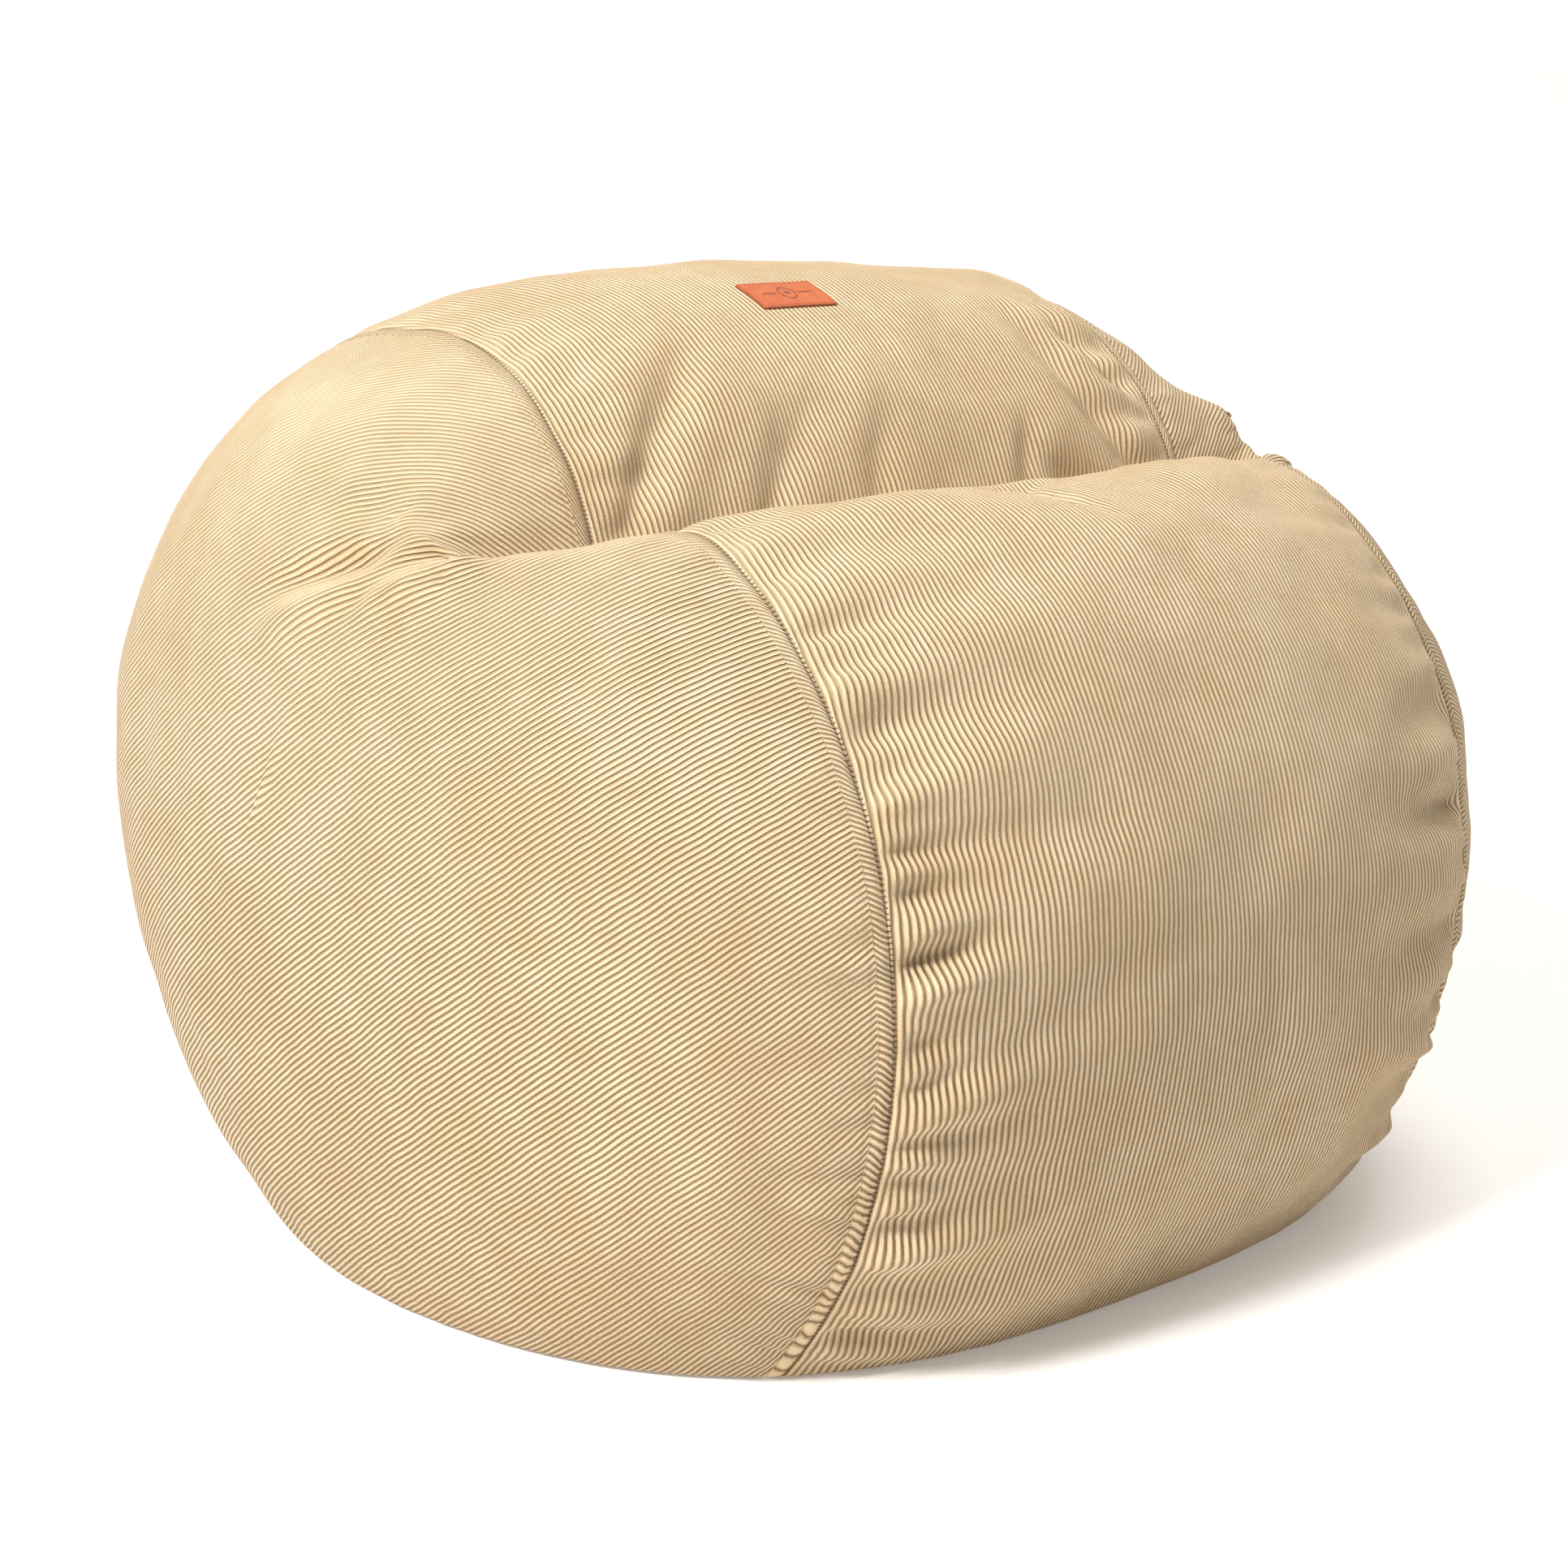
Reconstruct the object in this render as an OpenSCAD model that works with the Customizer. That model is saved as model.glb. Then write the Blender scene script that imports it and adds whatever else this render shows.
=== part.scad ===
// Bean bag chair: a corduroy cover of three panels, zipped low at the back, over a folded
// mattress of shredded foam in its own zipped casing.
// The origin is on the floor under the middle of the chair. -Y is the front, +X is to the
// right of someone who faces the front, and +Z is up. The fold of the seat runs along X.
// The left panel is the one on the -X side.

/* [Overall size] */
// Width from side to side
body_w = 1000; // [850:10:1200]
// Depth from the front lobe to the back lobe
body_d = 950; // [800:10:1150]
// Height of the back lobe above the floor
body_h = 740; // [620:10:900]

/* [Fold] */
// Depth of the fold between the two lobes, from their common outline
fold_depth = 230; // [150:5:240]
// Angle over which each wall of the fold rises, seen from the fold's centre
fold_spread = 10.5; // [8:0.5:14]
// Direction of the fold from its centre, 90 is straight up
fold_lean = 91; // [86:1:96]
// Share of the half width at which the fold fades out
fold_fade = 0.87; // [0.8:0.01:0.95]

/* [Cover] */
// Width of the centre band between the two side seams
band_w = 614; // [520:2:680]
// Thickness of the corduroy with its backing
cover_t = 3; // [2:0.5:4]

/* [Label] */
// Length of the label patch along X
label_w = 76; // [40:2:90]
// Width of the label patch along the band
label_d = 34; // [24:1:60]
// Thickness of the label's leather
label_t = 1.2; // [0.8:0.1:2]
// Direction of the label from the fold's centre
label_lean = 113; // [110:1:145]
// Distance of the label from the middle of the band, along X
label_x = -23; // [-120:1:120]

/* [Cover zip] */
// Angle of the zip below the level of the roll axis, at the back
zip_drop = 28; // [20:1:34]
// Width of each tape
tape_w = 16; // [12:1:20]
// Thickness of a tape
tape_t = 1; // [0.6:0.1:1.4]
// Opening between the two hems
hem_gap = 18; // [17:0.5:24]
// Width of each coil
coil_w = 2.4; // [1.8:0.1:3]
// Height of each coil above its tape
coil_h = 2.4; // [1.8:0.1:3]
// Length of the slider along the zip
slider_l = 15; // [12:1:18]
// Length of the pull from its pin
pull_l = 34; // [24:1:44]
// Width of the pull
pull_w = 8; // [6:0.5:10]

/* [Casing] */
// Gap between the cover and the casing
casing_gap = 3; // [2.5:0.5:6]
// Thickness of the casing's fabric
casing_t = 1.5; // [1:0.1:2.5]
// Distance between the casing's two side seams
casing_band_w = 620; // [560:10:640]
// Depth of the fold in the mattress below the cover's fold
tuck_depth = 270; // [180:10:300]
// Half of the gap between the two folded halves
tuck_half = 8; // [5:0.5:12]

/* [Hidden] */

fabric_colour = [0.86, 0.76, 0.62];
casing_colour = [0.93, 0.92, 0.88];
foam_colour = [0.97, 0.88, 0.55];
tape_colour = [0.78, 0.68, 0.54];
coil_colour = [0.70, 0.60, 0.46];
metal_colour = [0.72, 0.70, 0.66];
leather_colour = [0.72, 0.42, 0.26];

// Outline proportions: reach of the surface from the fold's centre, every 45 degrees from
// the front over the top and the back to the base, before it is fitted to the overall size.
reach = [313, 278, 327, 517, 640, 603, 507, 393];
fold_offset = 200;      // the fold's centre is this far in front of the roll axis
axis_height = 354;      // height of the roll axis
round_power = 2.92;     // how square the plan is: 2 is an ellipse
round_share = 0.35;     // how fast the sides fall away
fold_power = 1.3;       // 2 rounds the root of the fold, 1 makes it a plain V
sample_power = 1.3;     // crowds the outline's points near the fold

crest_steps = 11;       // outline steps from the fold to the back lobe's crest
rear_steps = 8;         // from the crest to the rearmost point
low_steps = 3;          // from there to the zip
rim_steps = 16;         // from the fold over the front lobe to its foremost point
nose_steps = 6;         // from there down to the floor
base_steps = 5;         // along the base
heel_steps = 3;         // from the base up to the zip
base_least = 6;         // least half angle of the base's points, where a row is off the floor
band_steps = 12;        // steps across the band
side_steps = 8;         // steps from a seam to the end of the roll axis
side_power = 2.2;       // crowds those steps towards the end
normal_step = 0.4;      // half step of direction over which a normal is measured

seam_x = band_w / 2;
casing_seam_x = casing_band_w / 2;
half_w = body_w / 2;

// Fabric clearances
tape_gap = 0.9;         // a flat tape under a slightly round hem
slider_gap = 0.35;      // slider to coil and tape
bridge_half = 0.6;      // half thickness of the slider's bridge between the tapes
tape_inner = bridge_half + slider_gap + 0.25;
coil_inner = bridge_half + slider_gap + 0.1;
plate_t = 1.7;          // slider plates
lip_t = 1.2;            // slider side lips
bite = 0.1;             // overlap of two shapes that are joined
stop_rise = 0.4;        // a stop stands this much over the coil
stop_side = 0.6;        // and this much past it on each side
floor_snap = 0.06;      // a point this near the floor lies on it
floor_close = 0.01;     // how near the floor a row's edge is found
label_gap = 0.15;
hem_cover = 5;          // a hem's first outline point past the tape's edge
zone_flat = 34;         // half height of the round strip that carries the zip
zone_fade = 110;        // where that strip has faded into the back lobe
room_fade = 60;         // where the zip's strip has faded beyond a side seam
zip_end = 16;           // from a side seam to the end of the coil
stop_l = 4;             // length of a stop
zip_room = 9;           // room behind the cover's hem for the casing's zip
fill_room = 7;          // room behind the casing's hem in the filling
casing_scale = 0.8;     // casing zip against the cover's zip

function total(v, i = 0) = i < len(v) ? v[i] + total(v, i + 1) : 0;
function flat(rows) = [for (row = rows) for (p = row) p];
function ramp(t) = t <= 0 ? 0 : t >= 1 ? 1 : t * t * (3 - 2 * t);
function mix(a, b, t) = a * (1 - t) + b * t;

// A smooth closed curve through eight reaches, as a sum of cosines
function spread(t) = (1 + 2 * cos(t) + 2 * cos(2 * t) + 2 * cos(3 * t) + cos(4 * t)) / 8;
function lobe(a) = total([for (k = [0:7]) reach[k] * spread(a - 45 * k)]);

// Fit to the overall depth and height
raw = [for (a = [0:1:359]) [-fold_offset - lobe(a) * cos(a), lobe(a) * sin(a)]];
raw_front = min([for (p = raw) p.x]);
raw_back = max([for (p = raw) p.x]);
raw_crest = max([for (p = raw) p.y]);
raw_top = raw_crest + axis_height;
crest_turn = [for (a = [0:1:359]) if (raw[a].y == raw_crest) a][0];
rear_turn = [for (a = [0:1:359]) if (raw[a].x == raw_back) a][0];
nose_turn = ([for (a = [0:1:359]) if (raw[a].x == raw_front) a][0] + 180) % 360 - 180;
fit_y = body_d / (raw_back - raw_front);
fit_z = body_h / raw_top;
axis_y = -(raw_front + raw_back) / 2 * fit_y;
axis_z = axis_height * fit_z;

// Outline in the middle plane, as [y, z] from the roll axis. "depth" is the fold's depth.
function turn_from_fold(a) = (a - fold_lean + 540) % 360 - 180;
function notch(a) = exp(-pow(abs(turn_from_fold(a)) / fold_spread, fold_power));
function natural(a, depth) =
    let (r = lobe(a) - depth * notch(a))
    [(-fold_offset - r * cos(a)) * fit_y, r * sin(a) * fit_z];

// Near the zip the outline is a circle about the roll axis
function below(p) = atan2(-p.y, p.x);
function angle_at(drop, lo = 181, hi = 250, n = 24) =
    n == 0 ? (lo + hi) / 2 :
    let (mid = (lo + hi) / 2)
    below(natural(mid, 0)) < drop ? angle_at(drop, mid, hi, n - 1)
                                  : angle_at(drop, lo, mid, n - 1);
zip_reach = norm(natural(angle_at(zip_drop), 0));
function along(p) = (below(p) - zip_drop) * PI / 180 * zip_reach;
function zone(p) = p.x < 0 ? 0 :
    1 - ramp((abs(along(p)) - zone_flat) / (zone_fade - zone_flat));
function outline(a, depth) =
    let (p = natural(a, depth), d = norm(p))
    p * mix(d, zip_reach, zone(p)) / d;
function inward(a, depth) =
    let (t = outline(a + normal_step, depth) - outline(a - normal_step, depth))
    [t.y, -t.x] / norm(t);

// Share of the middle outline's size left at x, for a surface that lies "inset" inside
function taper(x, inset) =
    pow(max(1 - pow(abs(x) / (half_w - inset), round_power), 0), round_share);
// Across the band the zip lies on an arc through both seams
seam_fall = zip_reach * (1 - taper(seam_x, 0));
zip_r = (seam_x * seam_x + seam_fall * seam_fall) / (2 * seam_fall);
function arc_taper(x, inset) =
    (sqrt(pow(zip_r - inset, 2) - x * x) - zip_r + zip_reach) / (zip_reach - inset);
function fold_at(x) =
    fold_depth * max(0, 1 - pow(abs(x) / half_w / fold_fade, 4));

// Point of the surface at direction a and width x, "inset" inside the cover, over a floor
function place(q, x, m, floor_z) =
    let (y = axis_y + q.x * m, z = axis_z + q.y * m)
    z > floor_z + floor_snap ? [x, y, z] :
    [x, axis_y + (y - axis_y) * (axis_z - floor_z) / (axis_z - z), floor_z];
function skin(a, x, inset, floor_z, room = 0) =
    let (depth = fold_at(x), p = outline(a, depth), w = zone(p),
         off = ramp((abs(x) - seam_x) / room_fade), deep = inset + room * w * (1 - off),
         q = p + inward(a, depth) * deep)
    place(q, x, mix(taper(x, inset), arc_taper(x, deep), w * (1 - off)), floor_z);

// Widths at which outlines are drawn
function across(limit) = [for (k = [0:band_steps]) limit * (2 * k / band_steps - 1)];
function outward_from(x, end) =
    [for (k = [0:side_steps - 1]) end - (end - x) * pow(1 - k / side_steps, side_power)];

// Directions of the cover's points, from the hem above the zip round to the hem below it.
// Each row meets the floor at its own directions, so the base's edge is drawn where it is:
// floor_at halves the way between a direction above the floor and one on it.
function drop_by(length) = zip_drop + length / zip_reach * 180 / PI;
hem_edge = hem_gap / 2;
hem_past = tape_inner + tape_w + hem_cover;
upper_hem = angle_at(drop_by(-hem_edge));
upper_past = angle_at(drop_by(-hem_past));
lower_hem = angle_at(drop_by(hem_edge)) - 360;
lower_past = angle_at(drop_by(hem_past)) - 360;
function floor_at(x, inset, floor_z, room, high, low, n = 14) =
    n == 0 ? low :
    let (mid = (high + low) / 2)
    skin(mid, x, inset, floor_z, room).z > floor_z + floor_close
    ? floor_at(x, inset, floor_z, room, mid, low, n - 1)
    : floor_at(x, inset, floor_z, room, high, mid, n - 1);
function crowd(from, to, steps, first = 1) =
    [for (k = [first:steps]) from + (to - from) * pow(k / steps, sample_power)];
function even(from, to, steps) = [for (k = [1:steps]) from + (to - from) * k / steps];
function backwards(v) = [for (k = [len(v) - 1:-1:0]) v[k]];
function back_turns(start) = concat(
    crowd(start, crest_turn, crest_steps, 0), even(crest_turn, rear_turn, rear_steps),
    even(rear_turn, upper_past, low_steps), [upper_hem]
);
function front_turns(start, x, inset, floor_z, room) =
    let (toe = max(floor_at(x, inset, floor_z, room, -20, -90), -90 + base_least),
         heel = min(floor_at(x, inset, floor_z, room, lower_past, -90), -90 - base_least))
    concat(
        crowd(start, nose_turn, rim_steps), even(nose_turn, toe, nose_steps),
        even(toe, heel, base_steps), even(heel, lower_past, heel_steps), [lower_hem]
    );

// One row of cover points at width x
function cover_row(x, inset) = [
    for (a = concat(backwards(back_turns(fold_lean)),
                    front_turns(fold_lean, x, inset, inset, 0)))
        skin(a, x, inset, inset)
];

// Casing surfaces: "ply" is 0 outside the fabric and casing_t inside it. The casing's points
// stop short of the fold, where its tuck starts.
casing_inset = cover_t + casing_gap;
tuck_edge = 4;          // degrees from the fold at which the tuck starts
tuck_least = 4;         // depth of the tuck where it has faded
tuck_from = 0.5;        // share of the half width at which the tuck starts to fade
tuck_over = 0.3;        // share of the half width over which it fades
function casing_point(a, x, ply) =
    skin(a, x, casing_inset + ply, cover_t + ply, zip_room);
function casing_back(x, ply) =
    [for (a = back_turns(fold_lean + tuck_edge)) casing_point(a, x, ply)];
function base_turns(x, ply) = concat(
    [fold_lean - tuck_edge],
    front_turns(fold_lean - tuck_edge, x, casing_inset + ply, cover_t + ply, zip_room)
);
function casing_base(x, ply) =
    [for (a = backwards(base_turns(x, ply))) casing_point(a, x, ply)];
function tuck_fall(x) =
    mix(tuck_depth, tuck_least, ramp((abs(x) / half_w - tuck_from) / tuck_over));
function tuck_point(side, x, ply) =
    let (tip = outline(fold_lean, fold_at(x)),
         q = [-fold_offset * fit_y + side * (tuck_half + ply),
              tip.y - casing_inset - ply - tuck_fall(x)])
    place(q, x, taper(x, casing_inset + ply), cover_t + ply);
function tuck_row(x, ply) = [
    casing_point(fold_lean - tuck_edge, x, ply), tuck_point(-1, x, ply),
    tuck_point(1, x, ply), casing_point(fold_lean + tuck_edge, x, ply)
];
function casing_loop(x, ply) = concat(
    casing_back(x, ply), casing_base(x, ply), [tuck_point(-1, x, ply), tuck_point(1, x, ply)]
);
// The filling leaves room behind the casing's zip
function filling_loop(x) = concat(
    [for (a = concat(back_turns(fold_lean + tuck_edge), backwards(base_turns(x, casing_t))))
        skin(a, x, casing_inset + casing_t, cover_t + casing_t, zip_room + fill_room)],
    [tuck_point(-1, x, casing_t), tuck_point(1, x, casing_t)]
);
function pole(x) = [x, axis_y, axis_z];

// A cloth patch: rows of outer points over rows of inner points. A closed patch runs right
// round, and tips close its last row.
function quad(a, b, c, d) = [[a, b, c], [a, c, d]];
module cloth(outer, inner, closed = false, tips = []) {
    n = len(outer[0]);
    m = len(outer);
    spans = closed ? n : n - 1;
    last = m - 1;
    function o(j, i) = j * n + i % n;
    function u(j, i) = m * n + j * n + i % n;
    tip = 2 * m * n;
    polyhedron(
        points = concat(flat(outer), flat(inner), tips),
        faces = concat(
            [for (j = [0:last - 1]) for (i = [0:spans - 1]) each concat(
                quad(o(j, i), o(j + 1, i), o(j + 1, i + 1), o(j, i + 1)),
                quad(u(j, i), u(j, i + 1), u(j + 1, i + 1), u(j + 1, i))
            )],
            [for (i = [0:spans - 1]) each quad(o(0, i), o(0, i + 1), u(0, i + 1), u(0, i))],
            len(tips) > 0
            ? [for (i = [0:spans - 1]) each [
                [o(last, i), tip, o(last, i + 1)], [u(last, i + 1), tip + 1, u(last, i)]
            ]]
            : [for (i = [0:spans - 1]) each
                quad(o(last, i), u(last, i), u(last, i + 1), o(last, i + 1))],
            closed ? [] : [for (j = [0:last - 1]) each concat(
                quad(o(j, 0), u(j, 0), u(j + 1, 0), o(j + 1, 0)),
                quad(o(j, spans), o(j + 1, spans), u(j + 1, spans), u(j, spans))
            )]
        ),
        convexity = 6
    );
}

// A filled body: closed rows of points between two tips. The first rows are split into
// triangles the other way, as on a mirrored panel.
module filled(rows, tips, mirrored_rows) {
    n = len(rows[0]);
    last = len(rows) - 1;
    function o(j, i) = j * n + i % n;
    tip = (last + 1) * n;
    polyhedron(
        points = concat(flat(rows), tips),
        faces = concat(
            [for (j = [0:last - 1]) for (i = [0:n - 1]) each
                j < mirrored_rows
                ? quad(o(j + 1, i), o(j + 1, i + 1), o(j, i + 1), o(j, i))
                : quad(o(j, i), o(j + 1, i), o(j + 1, i + 1), o(j, i + 1))],
            [for (i = [0:n - 1]) each [
                [o(0, i + 1), tip, o(0, i)], [o(last, i), tip + 1, o(last, i + 1)]
            ]]
        ),
        convexity = 6
    );
}

module cover_band() {
    color(fabric_colour)
        cloth([for (x = across(seam_x)) cover_row(x, 0)],
              [for (x = across(seam_x)) cover_row(x, cover_t)]);
}

module cover_side() {
    color(fabric_colour)
        cloth([for (x = outward_from(seam_x, half_w)) cover_row(x, 0)],
              [for (x = outward_from(seam_x, half_w - cover_t)) cover_row(x, cover_t)],
              closed = true, tips = [pole(half_w), pole(half_w - cover_t)]);
}

module cover_left_panel() {
    mirror([1, 0, 0]) cover_side();
}

module cover_right_panel() {
    cover_side();
}

// The label follows the crown of the back lobe
module label_patch() {
    crown = natural(label_lean + normal_step, 0) - natural(label_lean - normal_step, 0);
    turn = label_d * normal_step / norm(crown);
    turns = [for (k = [-2:2]) label_lean - k * turn / 2];
    widths = [for (k = [-2:2]) label_x + k * label_w / 4];
    color(leather_colour)
        cloth([for (x = widths) [for (a = turns) skin(a, x, -label_gap - label_t, 0)]],
              [for (x = widths) [for (a = turns) skin(a, x, -label_gap, 0)]]);
}

// Zip parts sit in a frame whose Z is the arc's axis: +Y points out through the zip, and a
// positive turn moves towards -X
module on_zip(turn = 0) {
    translate([0, axis_y + cos(zip_drop) * (zip_reach - zip_r),
               axis_z - sin(zip_drop) * (zip_reach - zip_r)])
        rotate([-zip_drop, 0, 0])
            rotate([0, 0, turn])
                children();
}

module zip_arc(from, to) {
    rotate([0, 0, 90 + from])
        rotate_extrude(angle = to - from, $fn = 360)
            children();
}

function half_turn(x, r) = asin(x / r);

module tape(r, side, scale_by) {
    h = half_turn(seam_x - 1, r);
    color(tape_colour) on_zip() zip_arc(-h, h)
        translate([r - tape_t, side > 0 ? tape_inner : -tape_inner - tape_w * scale_by])
            square([tape_t, tape_w * scale_by]);
}

module coil(r, side, scale_by) {
    h = half_turn(seam_x - zip_end, r);
    w = coil_w * scale_by;
    tall = coil_h * scale_by;
    color(coil_colour) on_zip() zip_arc(-h, h)
        mirror([0, side > 0 ? 0 : 1])
            translate([r, coil_inner])
                intersection() {
                    square([tall, w]);
                    translate([tall - w / 2, w / 2]) union() {
                        circle(d = w, $fn = 24);
                        translate([-tall, -w / 2]) square([tall, w]);
                    }
                }
}

module zip_stop(r, side) {
    h = half_turn(seam_x - zip_end, r);
    length = stop_l / r * 180 / PI;
    from = side > 0 ? h : -h - length;
    wide = coil_inner + coil_w + stop_side;
    color(metal_colour) on_zip() zip_arc(from, from + length)
        translate([r, -wide]) square([coil_h + stop_rise, 2 * wide]);
}

// The slider clasps both coils between two plates, joined by a bridge between the tapes
module slider(r, scale_by, park) {
    top = coil_h * scale_by + slider_gap;
    low = -tape_t - slider_gap;
    half = tape_inner + coil_w * scale_by + slider_gap + lip_t + bite;
    length = slider_l * scale_by;
    color(metal_colour) on_zip(park) translate([0, r, 0]) {
        translate([-length / 2, top, -half]) cube([length, plate_t, 2 * half]);
        translate([-length / 2, low - plate_t, -half]) cube([length, plate_t, 2 * half]);
        translate([-length / 2, low - bite, -bridge_half])
            cube([length / 3, top - low + 2 * bite, 2 * bridge_half]);
        for (side = [0, 1]) mirror([0, 0, side])
            translate([-length / 2, slider_gap, half - lip_t])
                cube([length, top - slider_gap + bite, lip_t]);
    }
}

// Cover zip: radius of the tapes' outer faces and the parked slider's turn
cover_zip_r = zip_r - cover_t - tape_gap;
slider_park = half_turn(seam_x - zip_end - slider_l / 2 - 0.5, cover_zip_r);
pin_lift = 1.9;         // the pull's pin over the slider's upper plate
pin_up = coil_h + slider_gap + plate_t + pin_lift;
pin_r = 0.8;
pin_play = 0.2;
bail_half = 1.5;        // half width of the bail that holds the pin
bail_r = 2.1;
bail_l = 5;
bail_h = 2;
fork_gap = 0.3;         // fork to bail
fork_r = 1.5;
fork_l = 6;
pull_t = 1.6;
pull_from = 4;          // where the fork closes into the pull
eye_r = 1.8;            // eye near the pull's end
eye_edge = 5;           // from the eye's middle to that end

module zip_tape_upper() { tape(cover_zip_r, 1, 1); }
module zip_tape_lower() { tape(cover_zip_r, -1, 1); }
module zip_coil_upper() { coil(cover_zip_r, 1, 1); }
module zip_coil_lower() { coil(cover_zip_r, -1, 1); }
module zip_start_stop() { zip_stop(cover_zip_r, 1); }
module zip_end_stop() { zip_stop(cover_zip_r, -1); }

module zip_slider() {
    slider(cover_zip_r, 1, slider_park);
    color(metal_colour) on_zip(slider_park)
        translate([0, cover_zip_r, 0]) difference() {
            union() {
                translate([-bail_l / 2, pin_up - bail_h, -bail_half])
                    cube([bail_l, bail_h, 2 * bail_half]);
                translate([0, pin_up, -bail_half])
                    cylinder(h = 2 * bail_half, r = bail_r, $fn = 48);
            }
            translate([0, pin_up, -bail_half - 1])
                cylinder(h = 2 * bail_half + 2, r = pin_r + pin_play, $fn = 48);
        }
}

// The pull's fork straddles the bail on a cross pin and lies along the closed zip
module zip_pull() {
    fork_in = bail_half + fork_gap;
    color(metal_colour) on_zip(slider_park) translate([0, cover_zip_r + pin_up, 0])
        difference() {
            union() {
                translate([0, 0, -pull_w / 2]) cylinder(h = pull_w, r = pin_r, $fn = 48);
                for (side = [0, 1]) mirror([0, 0, side]) {
                    translate([0, 0, fork_in])
                        cylinder(h = pull_w / 2 - fork_in, r = fork_r, $fn = 48);
                    translate([0, -pull_t / 2, fork_in])
                        cube([fork_l, pull_t, pull_w / 2 - fork_in]);
                }
                translate([pull_from, -pull_t / 2, -pull_w / 2])
                    cube([pull_l - pull_from, pull_t, pull_w]);
            }
            translate([pull_l - eye_edge, pull_t, 0]) rotate([90, 0, 0])
                cylinder(h = 2 * pull_t, r = eye_r, $fn = 48);
        }
}

module casing_back_panel() {
    color(casing_colour)
        cloth([for (x = across(casing_seam_x)) backwards(casing_back(x, 0))],
              [for (x = across(casing_seam_x)) backwards(casing_back(x, casing_t))]);
}

module casing_base_panel() {
    color(casing_colour)
        cloth([for (x = across(casing_seam_x)) backwards(casing_base(x, 0))],
              [for (x = across(casing_seam_x)) backwards(casing_base(x, casing_t))]);
}

module casing_fold_sheet() {
    color(casing_colour)
        cloth([for (x = across(casing_seam_x)) backwards(tuck_row(x, 0))],
              [for (x = across(casing_seam_x)) backwards(tuck_row(x, casing_t))]);
}

module casing_side() {
    end = half_w - casing_inset;
    color(casing_colour)
        cloth([for (x = outward_from(casing_seam_x, end)) backwards(casing_loop(x, 0))],
              [for (x = outward_from(casing_seam_x, end - casing_t))
                  backwards(casing_loop(x, casing_t))],
              closed = true, tips = [pole(end), pole(end - casing_t)]);
}

module casing_left_side() {
    mirror([1, 0, 0]) casing_side();
}

module casing_right_side() {
    casing_side();
}

// Casing zip: the same arc, deeper in, with a slider that has no pull
casing_zip_r = zip_r - casing_inset - zip_room - casing_t - tape_gap;
casing_park = half_turn(seam_x - zip_end - slider_l / 2 - 0.5, casing_zip_r);

module casing_zip_tape_upper() { tape(casing_zip_r, 1, casing_scale); }
module casing_zip_tape_lower() { tape(casing_zip_r, -1, casing_scale); }
module casing_zip_coil_upper() { coil(casing_zip_r, 1, casing_scale); }
module casing_zip_coil_lower() { coil(casing_zip_r, -1, casing_scale); }
module casing_zip_slider() { slider(casing_zip_r, casing_scale, casing_park); }

module foam_filling() {
    end = half_w - casing_inset - casing_t;
    right = outward_from(casing_seam_x, end);
    left = [for (k = [len(right) - 1:-1:1]) -right[k]];
    color(foam_colour)
        filled([for (x = concat(left, across(casing_seam_x), [for (k = [1:len(right) - 1]) right[k]]))
                   backwards(filling_loop(x))],
               [pole(-end), pole(end)], side_steps - 1);
}

cover_band();
cover_left_panel();
cover_right_panel();
label_patch();
zip_tape_upper();
zip_tape_lower();
zip_coil_upper();
zip_coil_lower();
zip_start_stop();
zip_end_stop();
zip_slider();
zip_pull();
casing_back_panel();
casing_base_panel();
casing_fold_sheet();
casing_left_side();
casing_right_side();
casing_zip_tape_upper();
casing_zip_tape_lower();
casing_zip_coil_upper();
casing_zip_coil_lower();
casing_zip_slider();
foam_filling();
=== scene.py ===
# %% [markdown]
# # A folded bean bag chair in wide-wale corduroy
# The chair is a sewn bag: one long band of corduroy runs from the zip under the back, round
# the base, over the front lobe, down into the seat fold and up over the back lobe, and a
# side panel is sewn to each edge of it. Shredded foam in an inner casing fills it.
# The frame that comes with the lesson holds every part at its true size and place, in
# metres. We keep its hard parts as they are and build the fabric afresh around the rest.

import math

import bmesh
import bpy
import numpy as np
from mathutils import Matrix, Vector
from mathutils.bvhtree import BVHTree
from mathutils.kdtree import KDTree


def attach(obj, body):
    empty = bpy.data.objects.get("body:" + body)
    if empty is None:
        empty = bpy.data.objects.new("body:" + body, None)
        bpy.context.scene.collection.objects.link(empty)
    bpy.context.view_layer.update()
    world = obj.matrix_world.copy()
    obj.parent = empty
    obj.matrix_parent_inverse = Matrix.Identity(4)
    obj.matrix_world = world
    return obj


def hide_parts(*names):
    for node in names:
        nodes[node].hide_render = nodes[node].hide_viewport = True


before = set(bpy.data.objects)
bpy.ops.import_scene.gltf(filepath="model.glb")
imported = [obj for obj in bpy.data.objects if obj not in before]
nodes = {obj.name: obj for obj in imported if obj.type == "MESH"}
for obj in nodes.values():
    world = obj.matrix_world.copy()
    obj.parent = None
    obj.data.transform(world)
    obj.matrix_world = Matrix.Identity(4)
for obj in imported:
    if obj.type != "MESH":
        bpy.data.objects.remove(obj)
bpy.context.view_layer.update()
scene = bpy.context.scene

# %% [markdown]
# ## The rule of the bag's shape
# The bag's outline in its middle plane is a smooth closed curve through eight reaches from
# the fold's centre, with a narrow notch pushed in where the seat folds. Towards the sides
# the outline shrinks and the notch grows shallow. We repeat that rule here, because it gives
# us any point of the skin, and so a mesh whose rows follow the fabric.

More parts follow.
